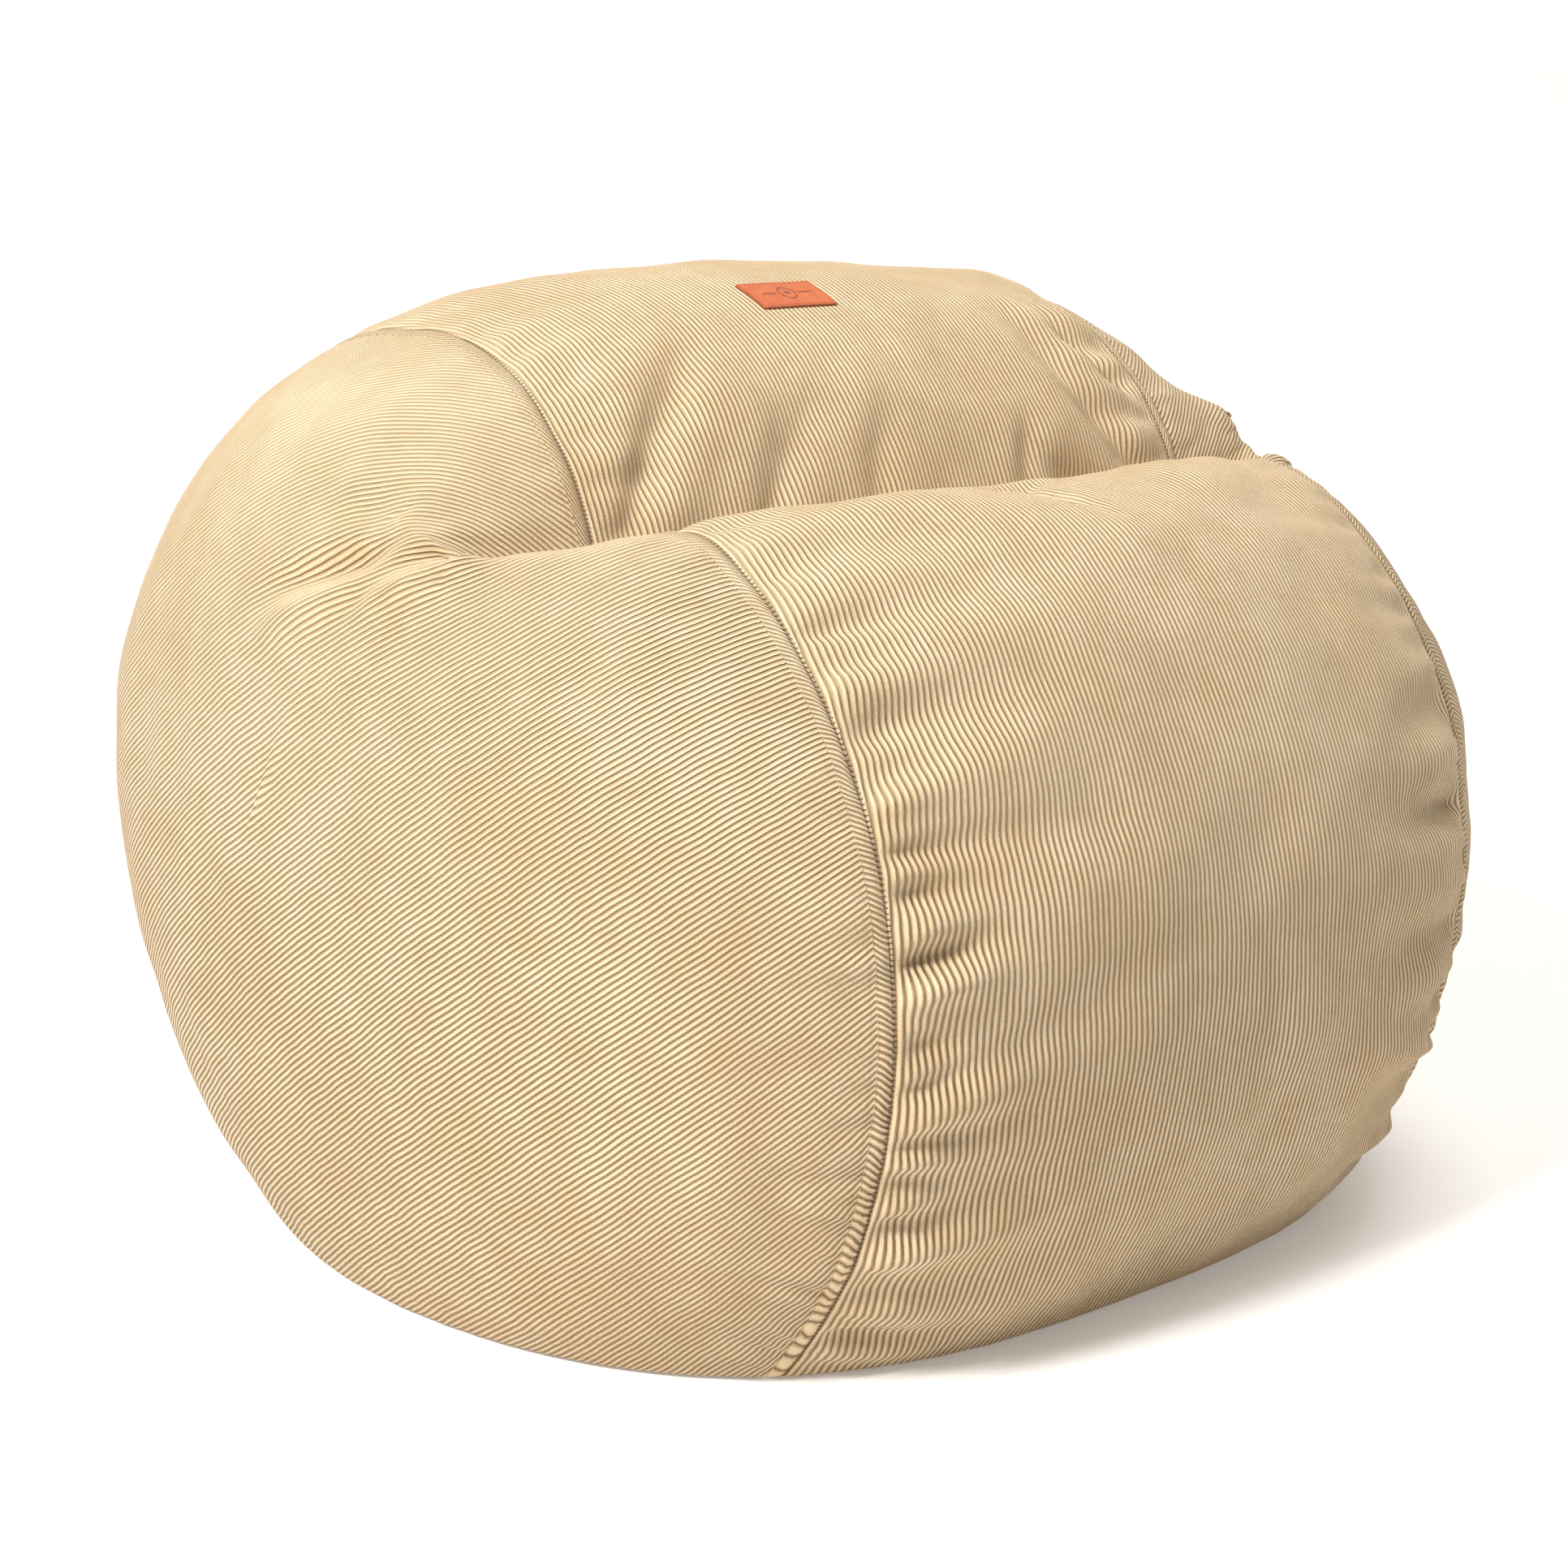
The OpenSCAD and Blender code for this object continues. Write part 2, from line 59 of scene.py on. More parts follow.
# %% Sizes of the bag
reach = np.array([313, 278, 327, 517, 640, 603, 507, 393]) * 0.001
half_w, body_d, body_h = 0.500, 0.950, 0.740
fold_depth, fold_spread, fold_lean, fold_power, fold_fade = 0.230, 10.5, 91.0, 1.3, 0.87
fold_offset, axis_height = 0.200, 0.354
round_power, round_share = 2.92, 0.35
seam_x = 0.307
zip_drop, zone_flat, zone_fade, room_fade = 28.0, 0.034, 0.110, 0.060
hem_gap, fabric_t = 0.018, 0.003
label_x, label_lean, label_w, label_d, label_t = -0.023, 113.0, 0.076, 0.034, 0.0012


def cosd(t):
    return np.cos(np.radians(t))


def sind(t):
    return np.sin(np.radians(t))


def ramp(t):
    t = np.clip(t, 0, 1)
    return t * t * (3 - 2 * t)


def lobe(a):
    def spread(t):
        return (1 + 2 * cosd(t) + 2 * cosd(2 * t) + 2 * cosd(3 * t) + cosd(4 * t)) / 8
    return sum(reach[k] * spread(a - 45 * k) for k in range(8))


# %% Fit the outline to the depth and height
turn = np.arange(0, 360.0)
raw = np.stack([-fold_offset - lobe(turn) * cosd(turn), lobe(turn) * sind(turn)], 1)
fit_y = body_d / (raw[:, 0].max() - raw[:, 0].min())
fit_z = body_h / (raw[:, 1].max() + axis_height)
axis_y = -(raw[:, 0].max() + raw[:, 0].min()) / 2 * fit_y
axis_z = axis_height * fit_z
print("roll axis at y, z:", round(axis_y, 4), round(axis_z, 4))


def natural(a, depth):
    off = np.abs((a - fold_lean + 540) % 360 - 180)
    r = lobe(a) - depth * np.exp(-(off / fold_spread) ** fold_power)
    return np.stack([(-fold_offset - r * cosd(a)) * fit_y, r * sind(a) * fit_z], -1)


def below(q):
    return np.degrees(np.arctan2(-q[..., 1], q[..., 0]))


def angle_at(drop):
    low, high = 181.0, 250.0
    for _ in range(40):
        mid = (low + high) / 2
        if below(natural(np.array(mid), 0)) < drop:
            low = mid
        else:
            high = mid
    return (low + high) / 2


zip_reach = float(np.linalg.norm(natural(np.array(angle_at(zip_drop)), 0)))


def zone(q):
    along = np.abs((below(q) - zip_drop) * math.pi / 180 * zip_reach)
    return np.where(q[..., 0] < 0, 0, 1 - ramp((along - zone_flat) / (zone_fade - zone_flat)))


def outline(a, depth):
    q = natural(a, depth)
    d = np.linalg.norm(q, axis=-1)
    w = zone(q)
    return q * ((d * (1 - w) + zip_reach * w) / d)[..., None]


def taper(x):
    return np.maximum(1 - (np.abs(x) / half_w) ** round_power, 0) ** round_share


seam_fall = zip_reach * (1 - float(taper(np.array(seam_x))))
zip_r = (seam_x ** 2 + seam_fall ** 2) / (2 * seam_fall)
hem_reach = hem_gap / 2 / zip_reach * 180 / math.pi
upper_hem = angle_at(zip_drop - hem_reach)
lower_hem = angle_at(zip_drop + hem_reach) - 360


def skin(x, a):
    """Points of the bag's skin at width x and direction a, in metres."""
    x, a = np.broadcast_arrays(np.asarray(x, float), np.asarray(a, float))
    depth = fold_depth * np.maximum(0, 1 - (np.abs(x) / half_w / fold_fade) ** 4)
    q = outline(a, depth)
    w = zone(q) * (1 - ramp((np.abs(x) - seam_x) / room_fade))
    arc = (np.sqrt(zip_r ** 2 - x ** 2) - zip_r + zip_reach) / zip_reach
    m = taper(x) * (1 - w) + arc * w
    y, z = axis_y + q[..., 0] * m, axis_z + q[..., 1] * m
    under = z < 0.00006
    pull = np.where(under, axis_z / np.where(under, axis_z - z, 1), 1)
    return np.stack([x, np.where(under, axis_y + (y - axis_y) * pull, y),
                     np.where(under, 0, z)], -1)


print("zip arc radius:", round(zip_r, 4), "hems at", round(upper_hem, 2), round(lower_hem, 2))

# %% [markdown]
# ## A sewing-pattern mesh
# A cloth mesh behaves and shades best when its rows run like the threads of the fabric, so
# the band is a grid of rows across and columns along, evenly spaced by arc length and closer
# together near the seams, where the detail is. Each side panel is rings from the seam in to
# the middle of the side, and the number of points in a ring is halved whenever they crowd.
# The seam's points belong to both panels, so the simulation can't pull them apart.

# %% Rows round the band and columns across it
rows = 352
dense_a = np.linspace(lower_hem, upper_hem, 6000)
dense_p = skin(0.0, dense_a)
dense_s = np.concatenate([[0], np.cumsum(np.linalg.norm(np.diff(dense_p, axis=0), axis=1))])
band_rows = rows - 1
girth = np.linspace(0, dense_s[-1], band_rows)
row_a = np.concatenate([np.interp(girth, dense_s, dense_a), [(upper_hem + lower_hem + 360) / 2]])
row_s = np.concatenate([girth, [dense_s[-1] + hem_gap / 2]])

near_seam = [0, 0.0045, 0.009, 0.0145, 0.021, 0.0285]
middle = np.linspace(-seam_x + near_seam[-1], seam_x - near_seam[-1], 63)
columns = np.concatenate([-seam_x + np.array(near_seam[:-1]), middle,
                          seam_x - np.array(near_seam[:-1])[::-1]])

ring_dense = half_w - (half_w - seam_x) * (1 - np.linspace(0, 1, 500)) ** 2.2
ring_p = skin(ring_dense[:, None], row_a[None, ::8])
ring_step = np.linalg.norm(np.diff(ring_p, axis=0), axis=2).mean(1)
ring_run = np.concatenate([[0], np.cumsum(ring_step)])
ring_gap = np.concatenate([near_seam, np.arange(near_seam[-1] + 0.0088, ring_run[-1] - 0.005, 0.0088)])
ring_x = np.interp(ring_gap, ring_run, ring_dense)
print("band", band_rows, "x", len(columns), "girth", round(float(dense_s[-1]), 3),
      "rings", len(ring_x), "side run", round(float(ring_run[-1]), 3))

# %% Build the points and faces of the whole cover
points, seam_gap, seam_run, faces, panel, weave = [], [], [], [], [], []
BAND, LEFT, RIGHT, GAP = 0, 1, 2, 3
# The band is cut narrower than it lies, so the filling spreads its wales apart
band_cut = 0.87 + 0.07 * ramp((row_a + 20) / 90) * (1 - ramp((row_a - 96) / 60))

grid = skin(columns[:, None], row_a[None, :])
for j, x in enumerate(columns):
    points.extend(grid[j])
    seam_gap.extend([seam_x - abs(x)] * rows)
    seam_run.extend(row_s)
last = len(columns) - 1
for j in range(last):
    for i in range(rows):
        n = (i + 1) % rows
        faces.append([j * rows + i, (j + 1) * rows + i, (j + 1) * rows + n, j * rows + n])
        panel.append(GAP if i >= band_rows - 1 else BAND)
        s1 = row_s[i + 1] if i + 1 < rows else dense_s[-1] + hem_gap
        near, far = band_cut[i], band_cut[n]
        weave.append([(columns[j] * near, row_s[i]), (columns[j + 1] * near, row_s[i]),
                      (columns[j + 1] * far, s1), (columns[j] * far, s1)])


def add_side(side):
    """Rings from the seam to the middle of one side, as new points and faces."""
    ring = [(last * rows if side > 0 else 0) + i for i in range(rows)]
    keep = np.arange(rows)
    first_face = len(faces)
    for k in range(1, len(ring_x)):
        gap = np.linalg.norm(np.diff(skin(ring_x[k], row_a[keep]), axis=0), axis=1).mean()
        halve = gap < 0.0056 and len(keep) % 2 == 0
        if halve:
            keep = keep[::2]
        start = len(points)
        points.extend(skin(side * ring_x[k], row_a[keep]))
        seam_gap.extend([ring_gap[k]] * len(keep))
        seam_run.extend(row_s[keep])
        new = list(range(start, start + len(keep)))
        m = len(new)
        for c in range(m):
            d = (c + 1) % m
            if halve:
                f0, f1, f2 = ring[2 * c], ring[2 * c + 1], ring[(2 * c + 2) % (2 * m)]
                made = [[f0, new[c], f1], [f1, new[c], new[d]], [f1, new[d], f2]]
            else:
                made = [[ring[c], new[c], new[d], ring[d]]]
            faces.extend(f if side > 0 else f[::-1] for f in made)
        ring = new
    tip = len(points)
    points.append(np.array([side * half_w, axis_y, axis_z]))
    seam_gap.append(ring_run[-1])
    seam_run.append(0)
    for c in range(len(ring)):
        f = [ring[c], tip, ring[(c + 1) % len(ring)]]
        faces.append(f if side > 0 else f[::-1])
    panel.extend([RIGHT if side > 0 else LEFT] * (len(faces) - first_face))
    print("side", side, "faces", len(faces) - first_face, "tip ring", len(ring))


add_side(-1)
add_side(1)
points = np.array(points)
seam_gap, seam_run, panel = np.array(seam_gap), np.array(seam_run), np.array(panel)

# %% [markdown]
# ## Flat patterns for the wales
# Corduroy's ribs, the wales, are straight on the flat cloth, so the pattern coordinates of
# the band are simply its width and its length. A side panel is cut flat too. Blender's
# minimum stretch unwrap flattens the curved panel just as a pattern cutter would, and we
# scale the result to metres and turn it so that the wales run the way they were cut.

# %% Flatten a side panel
wale_turn = 32.0
side_ease = 1.058       # the sides are cut a little fuller than the skin, so theirs lie closer


def flat_pattern(which):
    """Flat coordinates in metres of each face corner of a side panel."""
    chosen = [faces[f] for f in np.flatnonzero(panel == which)]
    used = sorted({v for f in chosen for v in f})
    index = {v: k for k, v in enumerate(used)}
    mesh = bpy.data.meshes.new("flat_panel")
    mesh.from_pydata([tuple(points[v]) for v in used], [], [[index[v] for v in f] for f in chosen])
    work = bpy.data.objects.new("flat_panel", mesh)
    scene.collection.objects.link(work)
    bpy.context.view_layer.objects.active = work
    work.select_set(True)
    mesh.uv_layers.new(name="Flat")
    bpy.ops.object.mode_set(mode="EDIT")
    bpy.ops.mesh.select_all(action="SELECT")
    bpy.ops.uv.unwrap(method="MINIMUM_STRETCH", fill_holes=False, correct_aspect=False,
                      iterations=12, no_flip=False, margin=0.0)
    bpy.ops.object.mode_set(mode="OBJECT")
    uv = np.zeros(len(mesh.loops) * 2, np.float32)
    mesh.uv_layers["Flat"].data.foreach_get("uv", uv)
    uv = uv.reshape(-1, 2).astype(float)
    corner = np.array([l.vertex_index for l in mesh.loops])
    flat = np.zeros((len(used), 2))
    flat[corner] = uv
    area3 = sum(p.area for p in mesh.polygons)
    area2 = 0.0
    for p in mesh.polygons:
        c = flat[list(p.vertices)]
        n = np.roll(c, -1, axis=0)
        area2 += 0.5 * (c[:, 0] * n[:, 1] - n[:, 0] * c[:, 1]).sum()
    flat = (flat - flat.mean(0)) * math.sqrt(area3 / abs(area2))
    if area2 < 0:
        flat[:, 0] *= -1
    solid = np.array([points[v] for v in used])
    spin = ((flat[:, 0] * solid[:, 2]).sum(), (flat[:, 1] * solid[:, 2]).sum())
    up = math.atan2(spin[0], spin[1])
    flat = flat @ np.array([[math.cos(up), math.sin(up)], [-math.sin(up), math.cos(up)]])
    print("flattened", which, "area", round(area3, 4), "turn", round(math.degrees(up), 1))
    bpy.data.objects.remove(work)
    bpy.data.meshes.remove(mesh)
    return dict(zip(used, flat))


side_flat = {LEFT: flat_pattern(LEFT), RIGHT: flat_pattern(RIGHT)}
for f in range(len(weave), len(faces)):
    table = side_flat[int(panel[f])]
    tilt = math.radians(wale_turn if panel[f] == LEFT else -wale_turn)
    corners = []
    for v in faces[f]:
        p, q = table[v] * side_ease
        corners.append((-p * math.sin(tilt) + q * math.cos(tilt) + 5.0,
                        p * math.cos(tilt) + q * math.sin(tilt)))
    weave.append(corners)
print("faces", len(faces), "pattern corners", sum(map(len, weave)))

# %% [markdown]
# ## Filling the bag by simulation
# Filling presses the cloth out, and the panels are a little longer than the seams that
# gather them. We run Blender's cloth solver on that: pressure inside, no gravity, a small
# growth of the cloth near the seams, and the points of the base, the fold and the zip held.
# The movement is capped, so that the chair keeps its outline. The mesh starts close to its
# filled shape, so most points move less than a millimetre and a few up to two centimetres.

# %% Groups that steer the cloth
ground = points[:, 2] < 0.004
centre_dir = below(points[:, 1:] - np.array([axis_y, axis_z]))
zip_near = (np.abs(centre_dir - zip_drop) < 5.5) & (np.abs(points[:, 0]) < seam_x + 0.03)
fold_row = np.abs(np.interp(seam_run, row_s, row_a) - fold_lean)
fold_root = (fold_row < 2.5) & (np.abs(points[:, 0]) < 0.40)
hold = np.full(len(points), 0.02)
hold[ground | zip_near | fold_root] = 1.0
is_band = np.arange(len(points)) < rows * len(columns)
ease = np.where(is_band, np.exp(-(seam_gap / 0.10) ** 2), np.exp(-(seam_gap / 0.035) ** 2) * 0.5)
room = np.where(ground, 0.003, 0.024)
room = np.where((fold_row < 16) & (np.abs(points[:, 0]) < 0.44), 0.005, room)
point_a = np.interp(seam_run, row_s, row_a)
from_label = np.hypot((points[:, 0] - label_x) / 0.09, (point_a - label_lean) / 9)
room = np.minimum(room, 0.002 + 0.022 * ramp((from_label - 0.6) / 1.0) + np.where(is_band, 0, 1))
print("held points", int((hold == 1).sum()), "of", len(points))


# %% Run the cloth
def fill_with_cloth(frames=20):
    """Positions of the cover after filling."""
    mesh = bpy.data.meshes.new("filling_run")
    mesh.from_pydata(points.tolist(), [], faces)
    work = bpy.data.objects.new("filling_run", mesh)
    scene.collection.objects.link(work)
    for name, weight in (("hold", hold), ("ease", ease)):
        group = work.vertex_groups.new(name=name)
        for level in np.unique(np.round(weight, 2)):
            chosen = np.flatnonzero(np.round(weight, 2) == level)
            group.add(chosen.tolist(), float(level), "REPLACE")
    cloth = work.modifiers.new("cloth", "CLOTH")
    how = cloth.settings
    how.quality = 6
    how.mass = 0.25
    how.tension_stiffness = 25
    how.compression_stiffness = 12
    how.shear_stiffness = 6
    how.bending_stiffness = 0.2
    how.use_pressure = True
    how.uniform_pressure_force = 4.0
    how.effector_weights.gravity = 0
    how.vertex_group_mass = "hold"
    how.pin_stiffness = 1.0
    how.vertex_group_shrink = "ease"
    how.shrink_min = 0.0
    how.shrink_max = -0.16
    cloth.collision_settings.use_collision = False
    cloth.point_cache.frame_start = 1
    cloth.point_cache.frame_end = frames
    for f in range(1, frames + 1):
        scene.frame_set(f)
    shown = work.evaluated_get(bpy.context.evaluated_depsgraph_get())
    moved = np.zeros(len(points) * 3, np.float32)
    shown.data.vertices.foreach_get("co", moved)
    moved = moved.reshape(-1, 3) - points
    length = np.linalg.norm(moved, axis=1)
    print("cloth moved: mean", round(float(length.mean()), 4), "most", round(float(length.max()), 4))
    moved *= (np.minimum(length, room) / np.maximum(length, 1e-9))[:, None]
    scene.frame_set(1)
    bpy.data.objects.remove(work)
    bpy.data.meshes.remove(mesh)
    return points + moved


filled = fill_with_cloth()

# %% Subdivide the whole cover once
def cover_mesh(name, at, levels):
    """The cover as one mesh with its attributes, subdivided."""
    mesh = bpy.data.meshes.new(name)
    mesh.from_pydata(at.tolist(), [], faces)
    uv = mesh.uv_layers.new(name="Weave")
    uv.data.foreach_set("uv", np.array([c for f in weave for c in f], np.float32).ravel())
    mesh.attributes.new("rest", "FLOAT_VECTOR", "POINT").data.foreach_set("vector", points.ravel())
    for key, kind, domain, values in (("seam_gap", "FLOAT", "POINT", seam_gap),
                                      ("seam_run", "FLOAT", "POINT", seam_run),
                                      ("width", "FLOAT", "POINT", points[:, 0]),
                                      ("panel", "INT", "FACE", panel)):
        mesh.attributes.new(key, kind, domain).data.foreach_set("value", values)
    work = bpy.data.objects.new(name, mesh)
    scene.collection.objects.link(work)
    smooth = work.modifiers.new("smooth", "SUBSURF")
    smooth.levels = smooth.render_levels = levels
    shown = work.evaluated_get(bpy.context.evaluated_depsgraph_get())
    result = bpy.data.meshes.new_from_object(shown)
    bpy.data.objects.remove(work)
    bpy.data.meshes.remove(mesh)
    return result


fine = cover_mesh("cover_fine", filled, 1)
print("fine cover:", len(fine.vertices), "points", len(fine.polygons), "faces")

# %% Read the fine mesh into arrays
def column(mesh, layer, key, count, kind=np.float32, wide=1):
    out = np.zeros(count * wide, kind)
    layer.foreach_get(key, out)
    return out.reshape(count, wide) if wide > 1 else out


n_points, n_faces, n_loops = len(fine.vertices), len(fine.polygons), len(fine.loops)
fine_co = column(fine, fine.vertices, "co", n_points, wide=3).astype(float)
fine_rest = column(fine, fine.attributes["rest"].data, "vector", n_points, wide=3).astype(float)
fine_gap = column(fine, fine.attributes["seam_gap"].data, "value", n_points)
fine_run = column(fine, fine.attributes["seam_run"].data, "value", n_points)
fine_x = column(fine, fine.attributes["width"].data, "value", n_points)
fine_panel = column(fine, fine.attributes["panel"].data, "value", n_faces, np.int32)
loop_point = column(fine, fine.loops, "vertex_index", n_loops, np.int32)
loop_uv = column(fine, fine.uv_layers["Weave"].data, "uv", n_loops, wide=2)
face_start = column(fine, fine.polygons, "loop_start", n_faces, np.int32)
face_size = column(fine, fine.polygons, "loop_total", n_faces, np.int32)
on_band = np.zeros(n_points, bool)
for which in (BAND, GAP):
    for f in np.flatnonzero(fine_panel == which):
        on_band[loop_point[face_start[f]:face_start[f] + face_size[f]]] = True


def normals_of(mesh, at):
    mesh.vertices.foreach_set("co", at.astype(np.float32).ravel())
    mesh.update()
    return column(mesh, mesh.vertex_normals, "vector", len(mesh.vertices), wide=3).astype(float)


# %% [markdown]
# ## Puckers, dents and seams
# The solver moves the cloth too little for the folds of a used chair, so most of them are
# added along the normals, with sizes and places given: short puckers that run out from
# each seam where the thread gathers the cloth, a rolled groove at the seam itself, and a
# slightly raised strip beside it where the seam allowance lies under the second row of
# stitches. Every random number comes from one seeded source.

# %% Puckers along the seams
rng = np.random.default_rng(20261)
total_run = float(dense_s[-1])
run_a = np.interp(fine_run, row_s, row_a)
lift = np.zeros(n_points)


def pucker_row(mask, spacing, length, height, half, lean, rise=0.0, furrows=0.0):
    """Adds soft ridges that leave the seam and fade with the distance from it."""
    at = rng.uniform(0, 0.02)
    made = 0
    idx = np.flatnonzero(mask)
    run, gap = fine_run[idx], fine_gap[idx]
    add = np.zeros(len(idx))
    while at < total_run:
        reach_out = rng.uniform(*length)
        tall = rng.uniform(*height)
        wide = rng.uniform(*half)
        slope = rng.normal(rise, lean)
        bow = rng.normal(0, 0.3)
        off = run - (at + slope * gap + bow * gap ** 2)
        width = wide * (1 + 1.2 * gap / 0.1)
        shape = np.exp(-(off / width) ** 2) - 0.46 * np.exp(-(off / width / 2.1) ** 2)
        shape *= -1 if rng.random() < furrows else 1
        fade = (1 - np.exp(-(gap / 0.012) ** 2)) * np.exp(-(gap / reach_out) ** 1.6)
        add += tall * shape * fade
        at += rng.uniform(*spacing)
        made += 1
    lift[idx] += add
    return made


for side in (-1, 1):
    here = on_band & (np.sign(fine_x) == side) & (fine_gap < 0.26)
    big = pucker_row(here, (0.026, 0.054), (0.060, 0.150), (0.0080, 0.0165), (0.008, 0.0125),
                     0.09, 0.15, 0.55)
    small = pucker_row(here, (0.011, 0.022), (0.014, 0.034), (0.0010, 0.0024), (0.004, 0.006), 0.1)
    there = ~on_band & (np.sign(fine_x) == side) & (fine_gap < 0.2)
    tucks = pucker_row(there, (0.018, 0.040), (0.018, 0.060), (0.0016, 0.0050), (0.005, 0.009),
                       0.15, 0.0, 0.6)
    print("seam", side, "puckers", big, small, "tucks", tucks)

# The cloth is fullest low on the front, and lies flatter over the top of the front lobe
front = ramp((run_a + 95) / 20) * (1 - 0.65 * ramp((run_a - 25) / 30)) * (1 - ramp((run_a - 70) / 20))
fullness = 0.12 + 0.88 * front
fullness += np.where(fine_x > 0, 0.55, 0.10) * ramp((run_a - 92) / 8) * (1 - ramp((run_a - 150) / 25))
fullness *= 1 + 0.35 * (1 - ramp((run_a + 5) / 30)) + np.where((fine_x > 0) & on_band, -0.20, 0)
lift *= fullness

# %% Gathers up both walls of the fold, and broad dents in the back lobe
fold_run = float(np.interp(fold_lean, row_a, row_s))


def fold_gathers(mask, spacing, length, height, half, lean, limit=0.40):
    """Soft ridges that rise from the fold's root across the width of the seat."""
    idx = np.flatnonzero(mask)
    climb, x = np.abs(fine_run[idx] - fold_run), fine_x[idx]
    add = np.zeros(len(idx))
    at = -limit + rng.uniform(0, 0.04)
    made = 0
    while at < limit:
        tall, wide, reach_out = rng.uniform(*height), rng.uniform(*half), rng.uniform(*length)
        off = x - (at + (lean + rng.normal(0, 0.14)) * climb)
        shape = np.exp(-(off / wide) ** 2) - 0.5 * np.exp(-(off / wide / 2) ** 2)
        add += tall * shape * ramp(climb / 0.05) * np.exp(-(climb / reach_out) ** 2)
        at += rng.uniform(*spacing)
        made += 1
    lift[idx] += add
    return made


behind = (run_a > fold_lean) & (run_a < 150)
before = (run_a < fold_lean) & (run_a > 40)
print("gathers", fold_gathers(behind, (0.040, 0.080), (0.24, 0.33), (0.0004, 0.0016), (0.010, 0.018), 0.55),
      fold_gathers(before, (0.06, 0.11), (0.22, 0.27), (0.001, 0.003), (0.016, 0.026), 0.10))


def run_at(a):
    return float(np.interp(a, row_a, row_s))


def valley(x0, a0, x1, a1, deep, half):
    """A soft crease between two places of the band, with a low bulge along each side."""
    start, end = np.array([x0, run_at(a0)]), np.array([x1, run_at(a1)])
    way = (end - start) / np.linalg.norm(end - start)
    from_start = np.stack([fine_x, fine_run], 1) - start
    t = from_start @ way / np.linalg.norm(end - start)
    bow = 0.010 * np.sin(np.clip(t, -0.3, 1.3) * math.pi)
    off = from_start @ np.array([-way[1], way[0]]) - bow
    half = half * (0.75 + 0.6 * np.clip(t, 0, 1))
    fade = ramp((t + 0.25) / 0.45) * (1 - ramp((t - 0.62) / 0.55))
    bulge = 0.42 * np.exp(-((np.abs(off) - 2.1 * half) / half / 1.3) ** 2)
    return deep * fade * (bulge - np.exp(-(off / half) ** 2))


# Each valley runs from a width and direction to a second one, with its depth and half width:
# first those that rise from the fold, then the front lobe's, then those behind the label
for x0, a0, x1, a1, deep, half in (
        (-0.275, 97, -0.150, 109, 0.0068, 0.015), (-0.170, 95, -0.080, 103, 0.0052, 0.014),
        (-0.055, 95, 0.005, 103, 0.0030, 0.013), (0.115, 95, 0.150, 102, 0.0034, 0.011),
        (0.275, 96, 0.190, 110, 0.0070, 0.013), (0.285, 102, 0.235, 115, 0.0060, 0.011),
        (0.30, 94, 0.13, 99, 0.0070, 0.012),
        (-0.25, 62, -0.10, 40, 0.0030, 0.030), (0.26, 70, 0.16, 48, 0.0040, 0.024),
        (-0.26, 150, -0.12, 132, 0.0050, 0.022), (0.25, 158, 0.10, 140, 0.0050, 0.024),
        (-0.20, 176, 0.05, 168, 0.0040, 0.026)):
    lift += valley(x0, a0, x1, a1, deep, half)


# %% [markdown]
# ## The fold's ends
# The seat fold doesn't stop at the seams: its notch fades out in the side panels, and from
# there a crease with a full rim before it runs on and dies out. We give the crease's path a
# formula: outwards as the square root of the way back, as on a round shoulder, and down in a
# slight bow. A few round bumps and hollows beside it carry the cloth's fullness.

# %% Creases and bumps at the fold's ends
end_front = -0.125      # where the fold's end starts, along y
end_out = 0.418         # and how far from the middle it is there
end_run = 0.171         # its run outwards, times the square root of the way back
end_high = 0.531        # its height in the middle of the bag's depth
end_fall = 0.35         # how fast it falls on the way back
end_bow = 0.45          # and how much its path is bowed


def fold_end(side, rim, dip):
    """A crease with a full rim before it and a dip behind it, fading out on the side panel."""
    y = fine_rest[:, 1]
    out = end_out + end_run * np.sqrt(np.maximum(y - end_front, 0))
    high = end_high - end_fall * y - end_bow * y ** 2
    off = 0.75 * (out - side * fine_rest[:, 0]) + 0.66 * (fine_rest[:, 2] - high)
    fade = ramp((y + 0.150) / 0.050) * (1 - ramp((y + 0.030) / 0.085)) * (np.abs(off) < 0.08)
    return fade * (rim * np.exp(-((off + 0.015) / 0.015) ** 2) - dip * np.exp(-((off - 0.011) / 0.013) ** 2))


lift += fold_end(-1, 0.011, 0.017) + fold_end(1, 0.012, 0.012)
# A place, how deep its hollow is, and how wide; a depth below zero is a bump
for centre, deep, wide in (
        ((-0.440, -0.045, 0.592), 0.0060, 0.020), ((-0.400, 0.010, 0.640), -0.0040, 0.030),
        ((-0.425, -0.010, 0.600), -0.0040, 0.018), ((0.430, -0.060, 0.590), -0.0130, 0.032),
        ((0.400, -0.010, 0.630), 0.0060, 0.022), ((0.465, -0.120, 0.540), -0.0130, 0.040)):
    lift -= deep * np.exp(-(np.linalg.norm(fine_rest - np.array(centre), axis=1) / wide) ** 2)


# %% Lumps of the filling
def lumps(at, count, longest, shortest, height):
    """Low smooth bumps all over, as a sum of seeded waves in space."""
    total = np.zeros(len(at))
    for _ in range(count):
        way = rng.normal(size=3)
        way /= np.linalg.norm(way)
        wave = rng.uniform(shortest, longest)
        total += np.sin(at @ way * 2 * math.pi / wave + rng.uniform(0, 2 * math.pi))
    return height * total / math.sqrt(count)


lift += lumps(fine_rest, 24, 0.26, 0.11, 0.0016) + lumps(fine_rest, 24, 0.10, 0.055, 0.0007)

